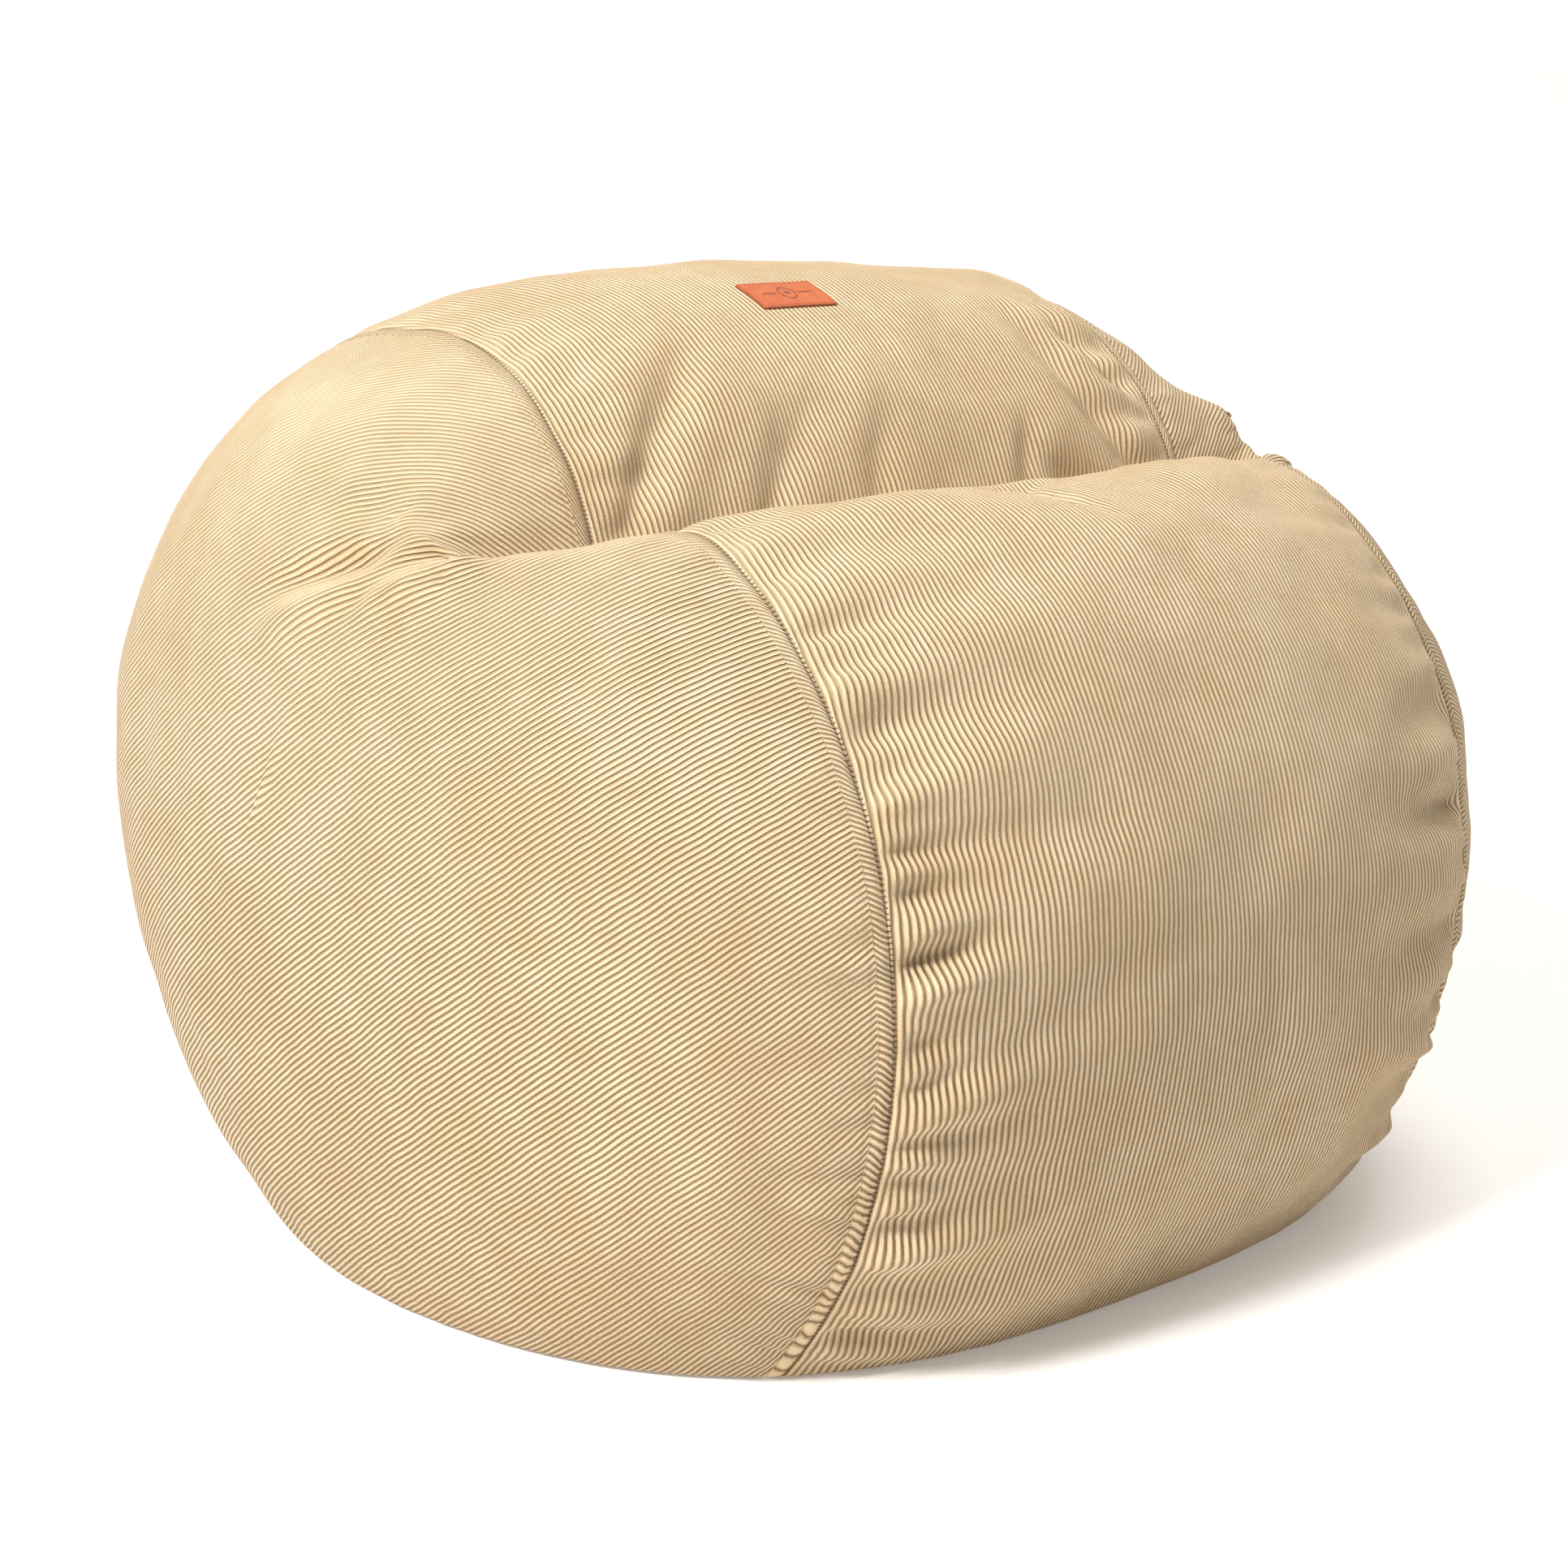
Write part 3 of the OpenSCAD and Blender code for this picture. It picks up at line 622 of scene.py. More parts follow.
# %% Keep the puckers off the label, the zip, the base and the fold's root
quiet = 1 - np.exp(-((run_a - fold_lean) / 4.0) ** 2)
quiet *= np.clip(fine_co[:, 2] / 0.03, 0, 1)
zip_run = np.minimum(fine_run, np.abs(total_run - fine_run))
quiet *= np.where(on_band | (fine_gap < 0.05), ramp((zip_run - 0.03) / 0.05), 1)
from_label = ((fine_x - label_x) / 0.070) ** 2 + ((run_a - label_lean) / 4.5) ** 2
quiet *= 1 - 0.85 * np.exp(-from_label ** 2)
lift *= quiet


# %% Seam groove, raised allowance and stitch line
def bump_line(gap, centre, width):
    return np.exp(-((gap - centre) / width) ** 2)


strip = np.where(on_band, 0, ramp((fine_gap - 0.001) / 0.003) * (1 - ramp((fine_gap - 0.0085) / 0.003)))
groove = -0.0011 * np.exp(-(fine_gap / 0.0025) ** 2) - 0.0006 * np.exp(-fine_gap / 0.014)
second = np.where(on_band, 0, -0.0012 * bump_line(fine_gap, 0.0105, 0.0022))
sewn = groove + second + 0.0009 * strip
sewn *= np.clip(fine_co[:, 2] / 0.008, 0, 1)

cover_n = normals_of(fine, fine_co)
cover_co = fine_co + cover_n * (lift + sewn)[:, None]
cover_co[:, 2] = np.maximum(cover_co[:, 2], 0)
cover_n = normals_of(fine, cover_co)
print("surface marks from", round(float((lift + sewn).min()), 4), "to", round(float((lift + sewn).max()), 4))


# %% [markdown]
# ## Cutting the cover into its three sewn pieces
# A real cover is three pieces of cloth with a thickness, so each panel gets an inner face
# three millimetres in and a rim along its edges. The two rims at a seam lie against each
# other inside the groove, as seam allowances do, and the band stays open at the zip.

# %% Make one panel with thickness
def panel_piece(name, which):
    chosen = np.flatnonzero(fine_panel == which)
    loops = [np.arange(face_start[f], face_start[f] + face_size[f]) for f in chosen]
    used = np.unique(np.concatenate([loop_point[l] for l in loops]))
    index = np.full(n_points, -1)
    index[used] = np.arange(len(used))
    outer = cover_co[used]
    inner = outer - cover_n[used] * fabric_t
    inner[:, 2] = np.maximum(inner[:, 2], np.where(outer[:, 2] < 0.004, outer[:, 2] + fabric_t, 0))
    m = len(used)
    corner_lists, uv = [], []
    edges = {}
    for l in loops:
        f = index[loop_point[l]]
        corner_lists.append(f.tolist())
        uv.append(loop_uv[l])
        for a, b, ua, ub in zip(f, np.roll(f, -1), loop_uv[l], np.roll(loop_uv[l], -1, axis=0)):
            edges[(int(a), int(b))] = (ua, ub)
    count = len(corner_lists)
    for k in range(count):
        corner_lists.append([v + m for v in corner_lists[k]][::-1])
        uv.append(uv[k][::-1])
    for (a, b), (ua, ub) in edges.items():
        if (b, a) not in edges:
            corner_lists.append([b, a, a + m, b + m])
            uv.append(np.array([ub, ua, ua, ub]))
    mesh = bpy.data.meshes.new(name)
    mesh.from_pydata(np.concatenate([outer, inner]).tolist(), [], corner_lists)
    mesh.uv_layers.new(name="Weave").data.foreach_set(
        "uv", np.concatenate(uv).astype(np.float32).ravel())
    for key, values in (("seam_gap", fine_gap[used]), ("seam_run", fine_run[used]),
                        ("sewn_over", np.full(m, 0.0 if which == BAND else 1.0))):
        both = np.concatenate([values, values]).astype(np.float32)
        mesh.attributes.new(key, "FLOAT", "POINT").data.foreach_set("value", both)
    mesh.polygons.foreach_set("use_smooth", np.ones(len(mesh.polygons), bool))
    mesh.update()
    piece = bpy.data.objects.new(name, mesh)
    scene.collection.objects.link(piece)
    print(name, len(mesh.vertices), "points", len(mesh.polygons), "faces")
    return piece


cover = {"cover_band": panel_piece("cover_band_cloth", BAND),
         "cover_left_panel": panel_piece("cover_left_cloth", LEFT),
         "cover_right_panel": panel_piece("cover_right_cloth", RIGHT)}

# %% [markdown]
# ## Corduroy
# Wide-wale corduroy is rows of cut pile. Seen close, a wale is a soft rounded ridge, and the
# groove between two of them shows the darker ground weave, darkened further in the colour as
# painted shade. The pile also leans in patches, which gives a mottled, hand-rubbed look. The
# wales read the flat pattern coordinates, so that they follow the cloth over every wrinkle,
# and the patches read the place in space.

# %% Helpers to wire nodes
def new_material(name):
    made = bpy.data.materials.new(name)
    made.use_nodes = True
    tree = made.node_tree
    shader = next(n for n in tree.nodes if n.type == "BSDF_PRINCIPLED")
    return made, tree, shader


def add(tree, kind, inputs=None, **settings):
    node = tree.nodes.new(kind)
    for key, value in settings.items():
        setattr(node, key, value)
    for key, value in (inputs or {}).items():
        if isinstance(value, bpy.types.NodeSocket):
            tree.links.new(value, node.inputs[key])
        else:
            node.inputs[key].default_value = value
    return node


def maths(tree, operation, *values):
    return add(tree, "ShaderNodeMath", dict(enumerate(values)), operation=operation).outputs[0]


def between(tree, value, low, high, to_low=0.0, to_high=1.0):
    """Smooth step of a value from one range to another."""
    return add(tree, "ShaderNodeMapRange", {0: value, 1: low, 2: high, 3: to_low, 4: to_high},
               interpolation_type="SMOOTHSTEP").outputs[0]


def noise(tree, vector, scale, detail=2.0, rough=0.5):
    return add(tree, "ShaderNodeTexNoise", {"Vector": vector, "Scale": scale, "Detail": detail,
                                            "Roughness": rough}).outputs[0]


def mixed(tree, share, low, high):
    node = add(tree, "ShaderNodeMix", {0: share, 6: low, 7: high}, data_type="RGBA")
    return node.outputs[2]


def srgb(r, g, b):
    return tuple(((c / 255 + 0.055) / 1.055) ** 2.4 if c > 10 else c / 255 / 12.92
                 for c in (r, g, b)) + (1.0,)


# %% Corduroy material
wale_pitch = 0.0043


def corduroy(name):
    made, tree, shader = new_material(name)
    flat = add(tree, "ShaderNodeUVMap", uv_map="Weave").outputs[0]
    place = add(tree, "ShaderNodeTexCoord").outputs["Object"]
    split = add(tree, "ShaderNodeSeparateXYZ", {0: flat})
    wander = maths(tree, "MULTIPLY", maths(tree, "SUBTRACT", noise(tree, flat, 22.0, 2.0), 0.5), 0.0030)
    gap = add(tree, "ShaderNodeAttribute", attribute_name="seam_gap").outputs[2]
    run = add(tree, "ShaderNodeAttribute", attribute_name="seam_run").outputs[2]
    strip = add(tree, "ShaderNodeAttribute", attribute_name="sewn_over").outputs[2]
    inner = maths(tree, "MAXIMUM", maths(tree, "SUBTRACT", 0.0105, gap), 0.0)
    pull = maths(tree, "ADD", maths(tree, "MULTIPLY", noise(tree, place, 30.0, 1.0), 1.4), 0.55)
    kink = maths(tree, "MULTIPLY", maths(tree, "MULTIPLY", inner, strip), pull)
    across = maths(tree, "ADD", maths(tree, "ADD", split.outputs[0], wander), kink)
    phase = maths(tree, "FRACT", maths(tree, "DIVIDE", across, wale_pitch))
    off = maths(tree, "MULTIPLY", maths(tree, "ABSOLUTE", maths(tree, "SUBTRACT", phase, 0.5)), 2.0)
    tufts = noise(tree, add(tree, "ShaderNodeMapping", {0: flat, 3: (1.0, 0.42, 1.0)}).outputs[0],
                  900.0, 2.0, 0.6)
    edge = maths(tree, "ADD", off, maths(tree, "MULTIPLY", maths(tree, "SUBTRACT", tufts, 0.5), 0.30))
    ridge = between(tree, edge, 0.25, 0.98, 1.0, 0.0)
    # The groove's dark share: the ground weave's own colour plus painted shade between the wales
    ground = between(tree, edge, 0.60, 0.94)
    patches = noise(tree, place, 7.0, 3.0, 0.55)
    smudges = noise(tree, place, 34.0, 3.0, 0.6)
    blush = between(tree, noise(tree, place, 11.0, 2.0), 0.52, 0.72)
    lay = maths(tree, "ADD", maths(tree, "MULTIPLY", patches, 0.55), maths(tree, "MULTIPLY", smudges, 0.45))
    pile = mixed(tree, between(tree, lay, 0.30, 0.72), srgb(216, 185, 140), srgb(233, 208, 170))
    pile = mixed(tree, maths(tree, "MULTIPLY", blush, 0.28), pile, srgb(226, 186, 140))
    speck = between(tree, tufts, 0.32, 0.70)
    pile = mixed(tree, maths(tree, "MULTIPLY", speck, 0.25), pile, srgb(242, 228, 204))
    tall = add(tree, "ShaderNodeSeparateXYZ", {0: place}).outputs[2]
    # Painted shade: low down the grooves' dark colour is kept nearly full, on top it is cut to half, so the
    # cloth is darker towards the bottom
    shown = between(tree, tall, 0.20, 0.58, 0.90, 0.48)
    cloth = mixed(tree, maths(tree, "MULTIPLY", ground, shown), pile, srgb(124, 86, 46))
    # Painted shade: the stitch holes along the seam and the seam's crease are darkened in the colour, where
    # shade falls into them
    hole_phase = maths(tree, "FRACT", maths(tree, "DIVIDE", run, 0.0042))
    from_hole = maths(tree, "ABSOLUTE", maths(tree, "SUBTRACT", hole_phase, 0.5))
    hole = between(tree, from_hole, 0.10, 0.26, 1.0, 0.0)
    from_row = maths(tree, "ABSOLUTE", maths(tree, "SUBTRACT", gap, 0.0006))
    row = between(tree, from_row, 0.0005, 0.0013, 1.0, 0.0)
    stitch_hole_shade = maths(tree, "MULTIPLY", maths(tree, "MULTIPLY", hole, row), 0.85)
    crease = maths(tree, "MULTIPLY", between(tree, gap, 0.0002, 0.0011, 1.0, 0.0), 0.20)
    cloth = mixed(tree, maths(tree, "MAXIMUM", stitch_hole_shade, crease), cloth, srgb(92, 66, 42))
    tree.links.new(cloth, shader.inputs["Base Color"])
    height = maths(tree, "ADD", ridge, maths(tree, "MULTIPLY", tufts, 0.35))
    bump = add(tree, "ShaderNodeBump", {"Strength": 1.0, "Distance": 0.0024, "Height": height})
    tree.links.new(bump.outputs[0], shader.inputs["Normal"])
    shader.inputs["Roughness"].default_value = 0.92
    shader.inputs["Specular IOR Level"].default_value = 0.15
    shader.inputs["Sheen Weight"].default_value = 0.35
    shader.inputs["Sheen Roughness"].default_value = 0.45
    shader.inputs["Sheen Tint"].default_value = srgb(255, 240, 215)
    return made


cord_cloth = corduroy("corduroy")
for node, piece in cover.items():
    piece.data.materials.append(cord_cloth)
    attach(piece, "root")
    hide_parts(node)

# %% [markdown]
# ## The casing and its filling
# Inside the cover lies a folded mattress: a plain cotton casing full of shredded foam. Its
# panels are already right in shape, so we take copies of the frame's parts, divide them
# finely and carry every point along with the nearest cloth, so that the mattress presses
# against the cover wherever the cover dips.

# %% How far the cover moved, anywhere near it
cover_tree = KDTree(n_points)
for k, place in enumerate(fine_rest):
    cover_tree.insert(place, k)
cover_tree.balance()
cover_shift = cover_co - fine_rest


def shift_near(at, near=5):
    """The cover's movement at a point: its nearest points', the nearest weighing most."""
    found = cover_tree.find_n(Vector(at), near)
    weight = np.array([1 / (d + 0.002) ** 2 for _, _, d in found])
    return (cover_shift[[k for _, k, _ in found]] * weight[:, None]).sum(0) / weight.sum()


# %% Cotton and foam
def casing_cotton():
    made, tree, shader = new_material("casing_cotton")
    place = add(tree, "ShaderNodeTexCoord").outputs["Object"]
    split = add(tree, "ShaderNodeSeparateXYZ", {0: place})
    warp = maths(tree, "SINE", maths(tree, "MULTIPLY", split.outputs[0], 5200.0))
    back_and_up = maths(tree, "ADD", split.outputs[1], split.outputs[2])
    weft = maths(tree, "SINE", maths(tree, "MULTIPLY", back_and_up, 4600.0))
    threads = maths(tree, "MULTIPLY", warp, weft)
    slubs = noise(tree, place, 160.0, 3.0, 0.6)
    shade = mixed(tree, between(tree, slubs, 0.3, 0.7), srgb(226, 222, 210), srgb(244, 241, 232))
    tree.links.new(shade, shader.inputs["Base Color"])
    height = maths(tree, "ADD", maths(tree, "MULTIPLY", threads, 0.3), slubs)
    bump = add(tree, "ShaderNodeBump", {"Strength": 0.4, "Distance": 0.0004, "Height": height})
    tree.links.new(bump.outputs[0], shader.inputs["Normal"])
    shader.inputs["Roughness"].default_value = 0.9
    shader.inputs["Sheen Weight"].default_value = 0.1
    return made


def shredded_foam():
    made, tree, shader = new_material("shredded_foam")
    place = add(tree, "ShaderNodeTexCoord").outputs["Object"]
    shreds = add(tree, "ShaderNodeTexVoronoi", {"Vector": place, "Scale": 55.0, "Randomness": 1.0})
    cells = noise(tree, place, 900.0, 2.0)
    tint = add(tree, "ShaderNodeSeparateColor", {0: shreds.outputs["Color"]})
    shade = mixed(tree, tint.outputs[0], srgb(246, 226, 150), srgb(250, 240, 205))
    shade = mixed(tree, between(tree, tint.outputs[1], 0.80, 0.86), shade, srgb(178, 200, 224))
    tree.links.new(shade, shader.inputs["Base Color"])
    height = maths(tree, "SUBTRACT", maths(tree, "MULTIPLY", cells, 0.1), shreds.outputs["Distance"])
    bump = add(tree, "ShaderNodeBump", {"Strength": 0.8, "Distance": 0.006, "Height": height})
    tree.links.new(bump.outputs[0], shader.inputs["Normal"])
    shader.inputs["Roughness"].default_value = 0.95
    return made


cotton, foam = casing_cotton(), shredded_foam()

# %% Carry the casing and the filling with the cover
def carried_piece(node, name, material, levels):
    source = nodes[node].data.copy()
    welded = bmesh.new()
    welded.from_mesh(source)
    bmesh.ops.remove_doubles(welded, verts=welded.verts, dist=1e-5)
    welded.to_mesh(source)
    welded.free()
    work = bpy.data.objects.new(name, source)
    scene.collection.objects.link(work)
    divide = work.modifiers.new("divide", "SUBSURF")
    divide.subdivision_type = "SIMPLE"
    divide.levels = divide.render_levels = levels
    mesh = bpy.data.meshes.new_from_object(work.evaluated_get(bpy.context.evaluated_depsgraph_get()))
    work.modifiers.clear()
    work.data = mesh
    bpy.data.meshes.remove(source)
    mesh.name = name
    co = column(mesh, mesh.vertices, "co", len(mesh.vertices), wide=3).astype(float)
    co += np.array([shift_near(c) for c in co])
    co[:, 2] = np.maximum(co[:, 2], fabric_t)
    mesh.vertices.foreach_set("co", co.astype(np.float32).ravel())
    mesh.materials.clear()
    mesh.materials.append(material)
    mesh.polygons.foreach_set("use_smooth", np.ones(len(mesh.polygons), bool))
    mesh.set_sharp_from_angle(angle=math.radians(42))
    mesh.update()
    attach(work, "root")
    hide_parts(node)
    print(name, len(mesh.vertices), "points")
    return work


for node, levels in (("casing_back_panel", 3), ("casing_base_panel", 3), ("casing_fold_sheet", 2),
                     ("casing_left_side", 3), ("casing_right_side", 3)):
    carried_piece(node, node + "_cloth", cotton, levels)
carried_piece("foam_filling", "foam_filling_shreds", foam, 3)

# %% [markdown]
# ## Stitches
# A stitch is a short bead of thread half sunk in the cloth, and there are thousands of them,
# all alike. Geometry Nodes is made for that: it walks along a line on the cloth, sets a bead
# at every step and turns it to the line, with a little seeded disorder.

# %% A tree that sets beads along a line
def bead_tree():
    tree = bpy.data.node_groups.new("beads_on_a_line", "GeometryNodeTree")
    face = tree.interface
    face.new_socket("Geometry", in_out="INPUT", socket_type="NodeSocketGeometry")
    for name, value in (("Pitch", 0.0042), ("Length", 0.003), ("Width", 0.0007), ("Height", 0.0007),
                        ("Disorder", 0.08)):
        face.new_socket(name, in_out="INPUT", socket_type="NodeSocketFloat").default_value = value
    face.new_socket("Seed", in_out="INPUT", socket_type="NodeSocketInt")
    face.new_socket("Finish", in_out="INPUT", socket_type="NodeSocketMaterial")
    face.new_socket("Geometry", in_out="OUTPUT", socket_type="NodeSocketGeometry")
    given = add(tree, "NodeGroupInput").outputs
    path = add(tree, "GeometryNodeMeshToCurve", {"Mesh": given["Geometry"]})
    steps = add(tree, "GeometryNodeCurveToPoints", {"Curve": path.outputs[0], "Length": given["Pitch"]},
                mode="LENGTH")
    bead = add(tree, "GeometryNodeMeshUVSphere", {"Segments": 6, "Rings": 5, "Radius": 0.5})
    tilt = add(tree, "FunctionNodeRandomValue", {"Seed": given["Seed"]}, data_type="FLOAT_VECTOR")
    low = add(tree, "ShaderNodeVectorMath", {0: (-1, -1, 0), "Scale": given["Disorder"]}, operation="SCALE")
    high = add(tree, "ShaderNodeVectorMath", {0: (1, 1, 0), "Scale": given["Disorder"]}, operation="SCALE")
    tree.links.new(low.outputs[0], tilt.inputs[0])
    tree.links.new(high.outputs[0], tilt.inputs[1])
    spin = add(tree, "FunctionNodeEulerToRotation", {0: tilt.outputs[0]})
    turned = add(tree, "FunctionNodeRotateRotation", {0: steps.outputs["Rotation"], 1: spin.outputs[0]},
                 rotation_space="LOCAL")
    size = add(tree, "ShaderNodeCombineXYZ", {0: given["Height"], 1: given["Width"], 2: given["Length"]})
    beads = add(tree, "GeometryNodeInstanceOnPoints",
                {"Points": steps.outputs["Points"], "Instance": bead.outputs[0],
                 "Rotation": turned.outputs[0], "Scale": size.outputs[0]})
    real = add(tree, "GeometryNodeRealizeInstances", {0: beads.outputs[0]})
    smooth = add(tree, "GeometryNodeSetShadeSmooth", {0: real.outputs[0]})
    finish = add(tree, "GeometryNodeSetMaterial", {0: smooth.outputs[0], "Material": given["Finish"]})
    add(tree, "NodeGroupOutput", {0: finish.outputs[0]})
    return tree


beads_on_a_line = bead_tree()


def bead_piece(name, lines, finish, slot, seed=1, **sizes):
    """One plain mesh of beads along several lines of points."""
    verts, edges = [], []
    for line, closed in lines:
        first = len(verts)
        verts.extend(tuple(p) for p in line)
        edges.extend((first + k, first + k + 1) for k in range(len(line) - 1))
        if closed:
            edges.append((len(verts) - 1, first))
    mesh = bpy.data.meshes.new(name + "_line")
    mesh.from_pydata(verts, edges, [])
    work = bpy.data.objects.new(name, mesh)
    scene.collection.objects.link(work)
    beads = work.modifiers.new("beads", "NODES")
    beads.node_group = beads_on_a_line
    known = {item.name: item.identifier for item in beads_on_a_line.interface.items_tree
             if item.in_out == "INPUT"}
    for key, value in {**sizes, "Seed": seed, "Finish": finish}.items():
        beads[known[key]] = value
    made = bpy.data.meshes.new_from_object(work.evaluated_get(bpy.context.evaluated_depsgraph_get()))
    work.modifiers.clear()
    work.data = made
    bpy.data.meshes.remove(mesh)
    made.name = name
    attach(work, "root")
    print(name, len(made.polygons), "faces")
    return work


# %% Thread and the lines that it follows
def thread(name, shade):
    made, tree, shader = new_material(name)
    place = add(tree, "ShaderNodeTexCoord").outputs["Object"]
    twist = add(tree, "ShaderNodeTexWave", {"Vector": place, "Scale": 900.0, "Distortion": 2.0})
    tone = mixed(tree, twist.outputs["Fac"], srgb(*[int(c * 0.84) for c in shade]), srgb(*shade))
    tree.links.new(tone, shader.inputs["Base Color"])
    shader.inputs["Roughness"].default_value = 0.7
    shader.inputs["Sheen Weight"].default_value = 0.2
    return made


cover_faces = [loop_point[face_start[f]:face_start[f] + face_size[f]].tolist()
               for f in np.flatnonzero(fine_panel != GAP)]
cover_skin = BVHTree.FromPolygons([Vector(c) for c in cover_co], cover_faces)


def on_cloth(at, proud=0.0):
    """The point on the finished cloth nearest to a point of the bag's rule."""
    place, normal, _, _ = cover_skin.find_nearest(Vector(at) + Vector(shift_near(at)))
    return place + normal * proud


dense_rows = np.interp(np.linspace(0, total_run, 1100), row_s, row_a)
cord_thread = thread("cord_thread", (205, 178, 140))
for side, name in ((-1, "left"), (1, "right")):
    lines = []
    for gap in (0.0106,):
        x = side * float(np.interp(gap, ring_run, ring_dense))
        line = [on_cloth(p, 0.0001) for p in skin(x, dense_rows) if p[2] > 0.004]
        lines.append((line, False))
    bead_piece("stitches_" + name, lines, cord_thread, "corduroy", seed=3 + side)

# %% Stitches along the two hems of the zip
hem_lines = []
for run in (0.006, total_run - 0.006):
    a = float(np.interp(run, row_s, row_a))
    hem_lines.append(([on_cloth(p, 0.0001) for p in skin(np.linspace(-0.302, 0.302, 200), a)], False))
bead_piece("stitches_hems", hem_lines, cord_thread, "corduroy", seed=9)

# %% [markdown]
# ## The leather label
# A small patch of tan leather is sewn to the crown of the back lobe. It is a thin plate that
# follows the cloth, with slightly rounded corners, a softened edge, a sewn line inside the
# edge and a plain pressed ring between two bars in its middle. The grid is fine enough to
# carry the pressed lines as real relief.

# %% Label surface
across_n, along_n = 115, 51
crown = natural(np.array(label_lean + 0.5), 0) - natural(np.array(label_lean - 0.5), 0)
per_degree = float(np.linalg.norm(crown))
label_turn = label_d / 2 / per_degree


def rounded(u, v, corner=0.0016):
    """Pulls the corners of the plate in to a radius; returns the distance to the edge too."""
    hw, hd = label_w / 2, label_d / 2
    cu, cv = np.maximum(np.abs(u) - (hw - corner), 0), np.maximum(np.abs(v) - (hd - corner), 0)
    far = np.maximum(cu, cv)
    length = np.hypot(cu, cv)
    pull = np.where(length > 1e-9, far / np.maximum(length, 1e-9), 1)
    u2 = np.where(cu * cv > 0, np.sign(u) * (hw - corner + cu * pull), u)
    v2 = np.where(cu * cv > 0, np.sign(v) * (hd - corner + cv * pull), v)
    inside = np.where(cu * cv > 0, corner - far, np.minimum(hw - np.abs(u), hd - np.abs(v)))
    return u2, v2, np.maximum(inside, 0)


def pressed(u, v):
    """Depth of the pressed mark, from 0 to 1: a ring between two bars."""
    ring = np.exp(-((np.hypot(u, v) - 0.0075) / 0.0009) ** 4)
    dot = np.exp(-(np.hypot(u, v) / 0.0026) ** 4)
    bars = np.exp(-(v / 0.0010) ** 4) * ((np.abs(u) > 0.011) & (np.abs(u) < 0.026))
    return np.clip(ring + dot + bars, 0, 1)


u, v = np.meshgrid(np.linspace(-label_w / 2, label_w / 2, across_n),
                   np.linspace(-label_d / 2, label_d / 2, along_n), indexing="ij")
u, v, inside = rounded(u, v)
mark = pressed(u, v)
base = skin(label_x + u, label_lean + v / (label_d / 2) * label_turn)
coarse = np.array([[on_cloth(base[i, j]) for j in range(0, along_n, 2)] for i in range(0, across_n, 2)])
seat = np.empty_like(base)
every = np.arange(along_n)
for c in range(3):
    rough = np.array([np.interp(every, every[::2], row) for row in coarse[:, :, c]])
    seat[:, :, c] = np.array([np.interp(np.arange(across_n), np.arange(0, across_n, 2), col)
                              for col in rough.T]).T
for _ in range(10):
    seat[1:-1, 1:-1] = (seat[:-2, 1:-1] + seat[2:, 1:-1] + seat[1:-1, :-2] + seat[1:-1, 2:]) / 4
normal = np.cross(np.gradient(seat, axis=0), np.gradient(seat, axis=1))
normal /= np.linalg.norm(normal, axis=2, keepdims=True)
if normal[across_n // 2, along_n // 2, 2] < 0:
    normal = -normal
edge_round = 0.0006 * (1 - np.sqrt(np.clip(1 - (1 - np.clip(inside / 0.0008, 0, 1)) ** 2, 0, 1)))
seam_line = 0.00035 * np.exp(-((inside - 0.0020) / 0.0007) ** 2)
top = seat + normal * (0.0009 + label_t - edge_round - seam_line - 0.00045 * mark)[:, :, None]
under = seat + normal * 0.0002

# %% Label mesh
count = across_n * along_n
quads = []
for i in range(across_n - 1):
    for j in range(along_n - 1):
        a, b, c, d = (i * along_n + j, (i + 1) * along_n + j, (i + 1) * along_n + j + 1, i * along_n + j + 1)
        quads.append([a, b, c, d])
        quads.append([a + count, d + count, c + count, b + count])
border = ([i * along_n for i in range(across_n)]
          + [(across_n - 1) * along_n + j for j in range(1, along_n)]
          + [i * along_n + along_n - 1 for i in range(across_n - 2, -1, -1)]
          + list(range(along_n - 2, 0, -1)))
for a, b in zip(border, border[1:] + border[:1]):
    quads.append([b, a, a + count, b + count])
label_mesh = bpy.data.meshes.new("label_leather")
label_mesh.from_pydata(np.concatenate([top.reshape(-1, 3), under.reshape(-1, 3)]).tolist(), [], quads)
flat_uv = np.stack([u.ravel(), v.ravel()], 1)
uv_layer = label_mesh.uv_layers.new(name="Weave")
uv_layer.data.foreach_set("uv", np.array([flat_uv[l.vertex_index % count] for l in label_mesh.loops],
                                         np.float32).ravel())
label_mesh.attributes.new("mark", "FLOAT", "POINT").data.foreach_set(
    "value", np.concatenate([mark.ravel(), np.zeros(count)]).astype(np.float32))
label_mesh.attributes.new("edge", "FLOAT", "POINT").data.foreach_set(
    "value", np.concatenate([inside.ravel(), np.zeros(count)]).astype(np.float32))
label_mesh.polygons.foreach_set("use_smooth", np.ones(len(quads), bool))
label_mesh.set_sharp_from_angle(angle=math.radians(50))
label = bpy.data.objects.new("label_leather", label_mesh)
scene.collection.objects.link(label)
print("label faces", len(quads))


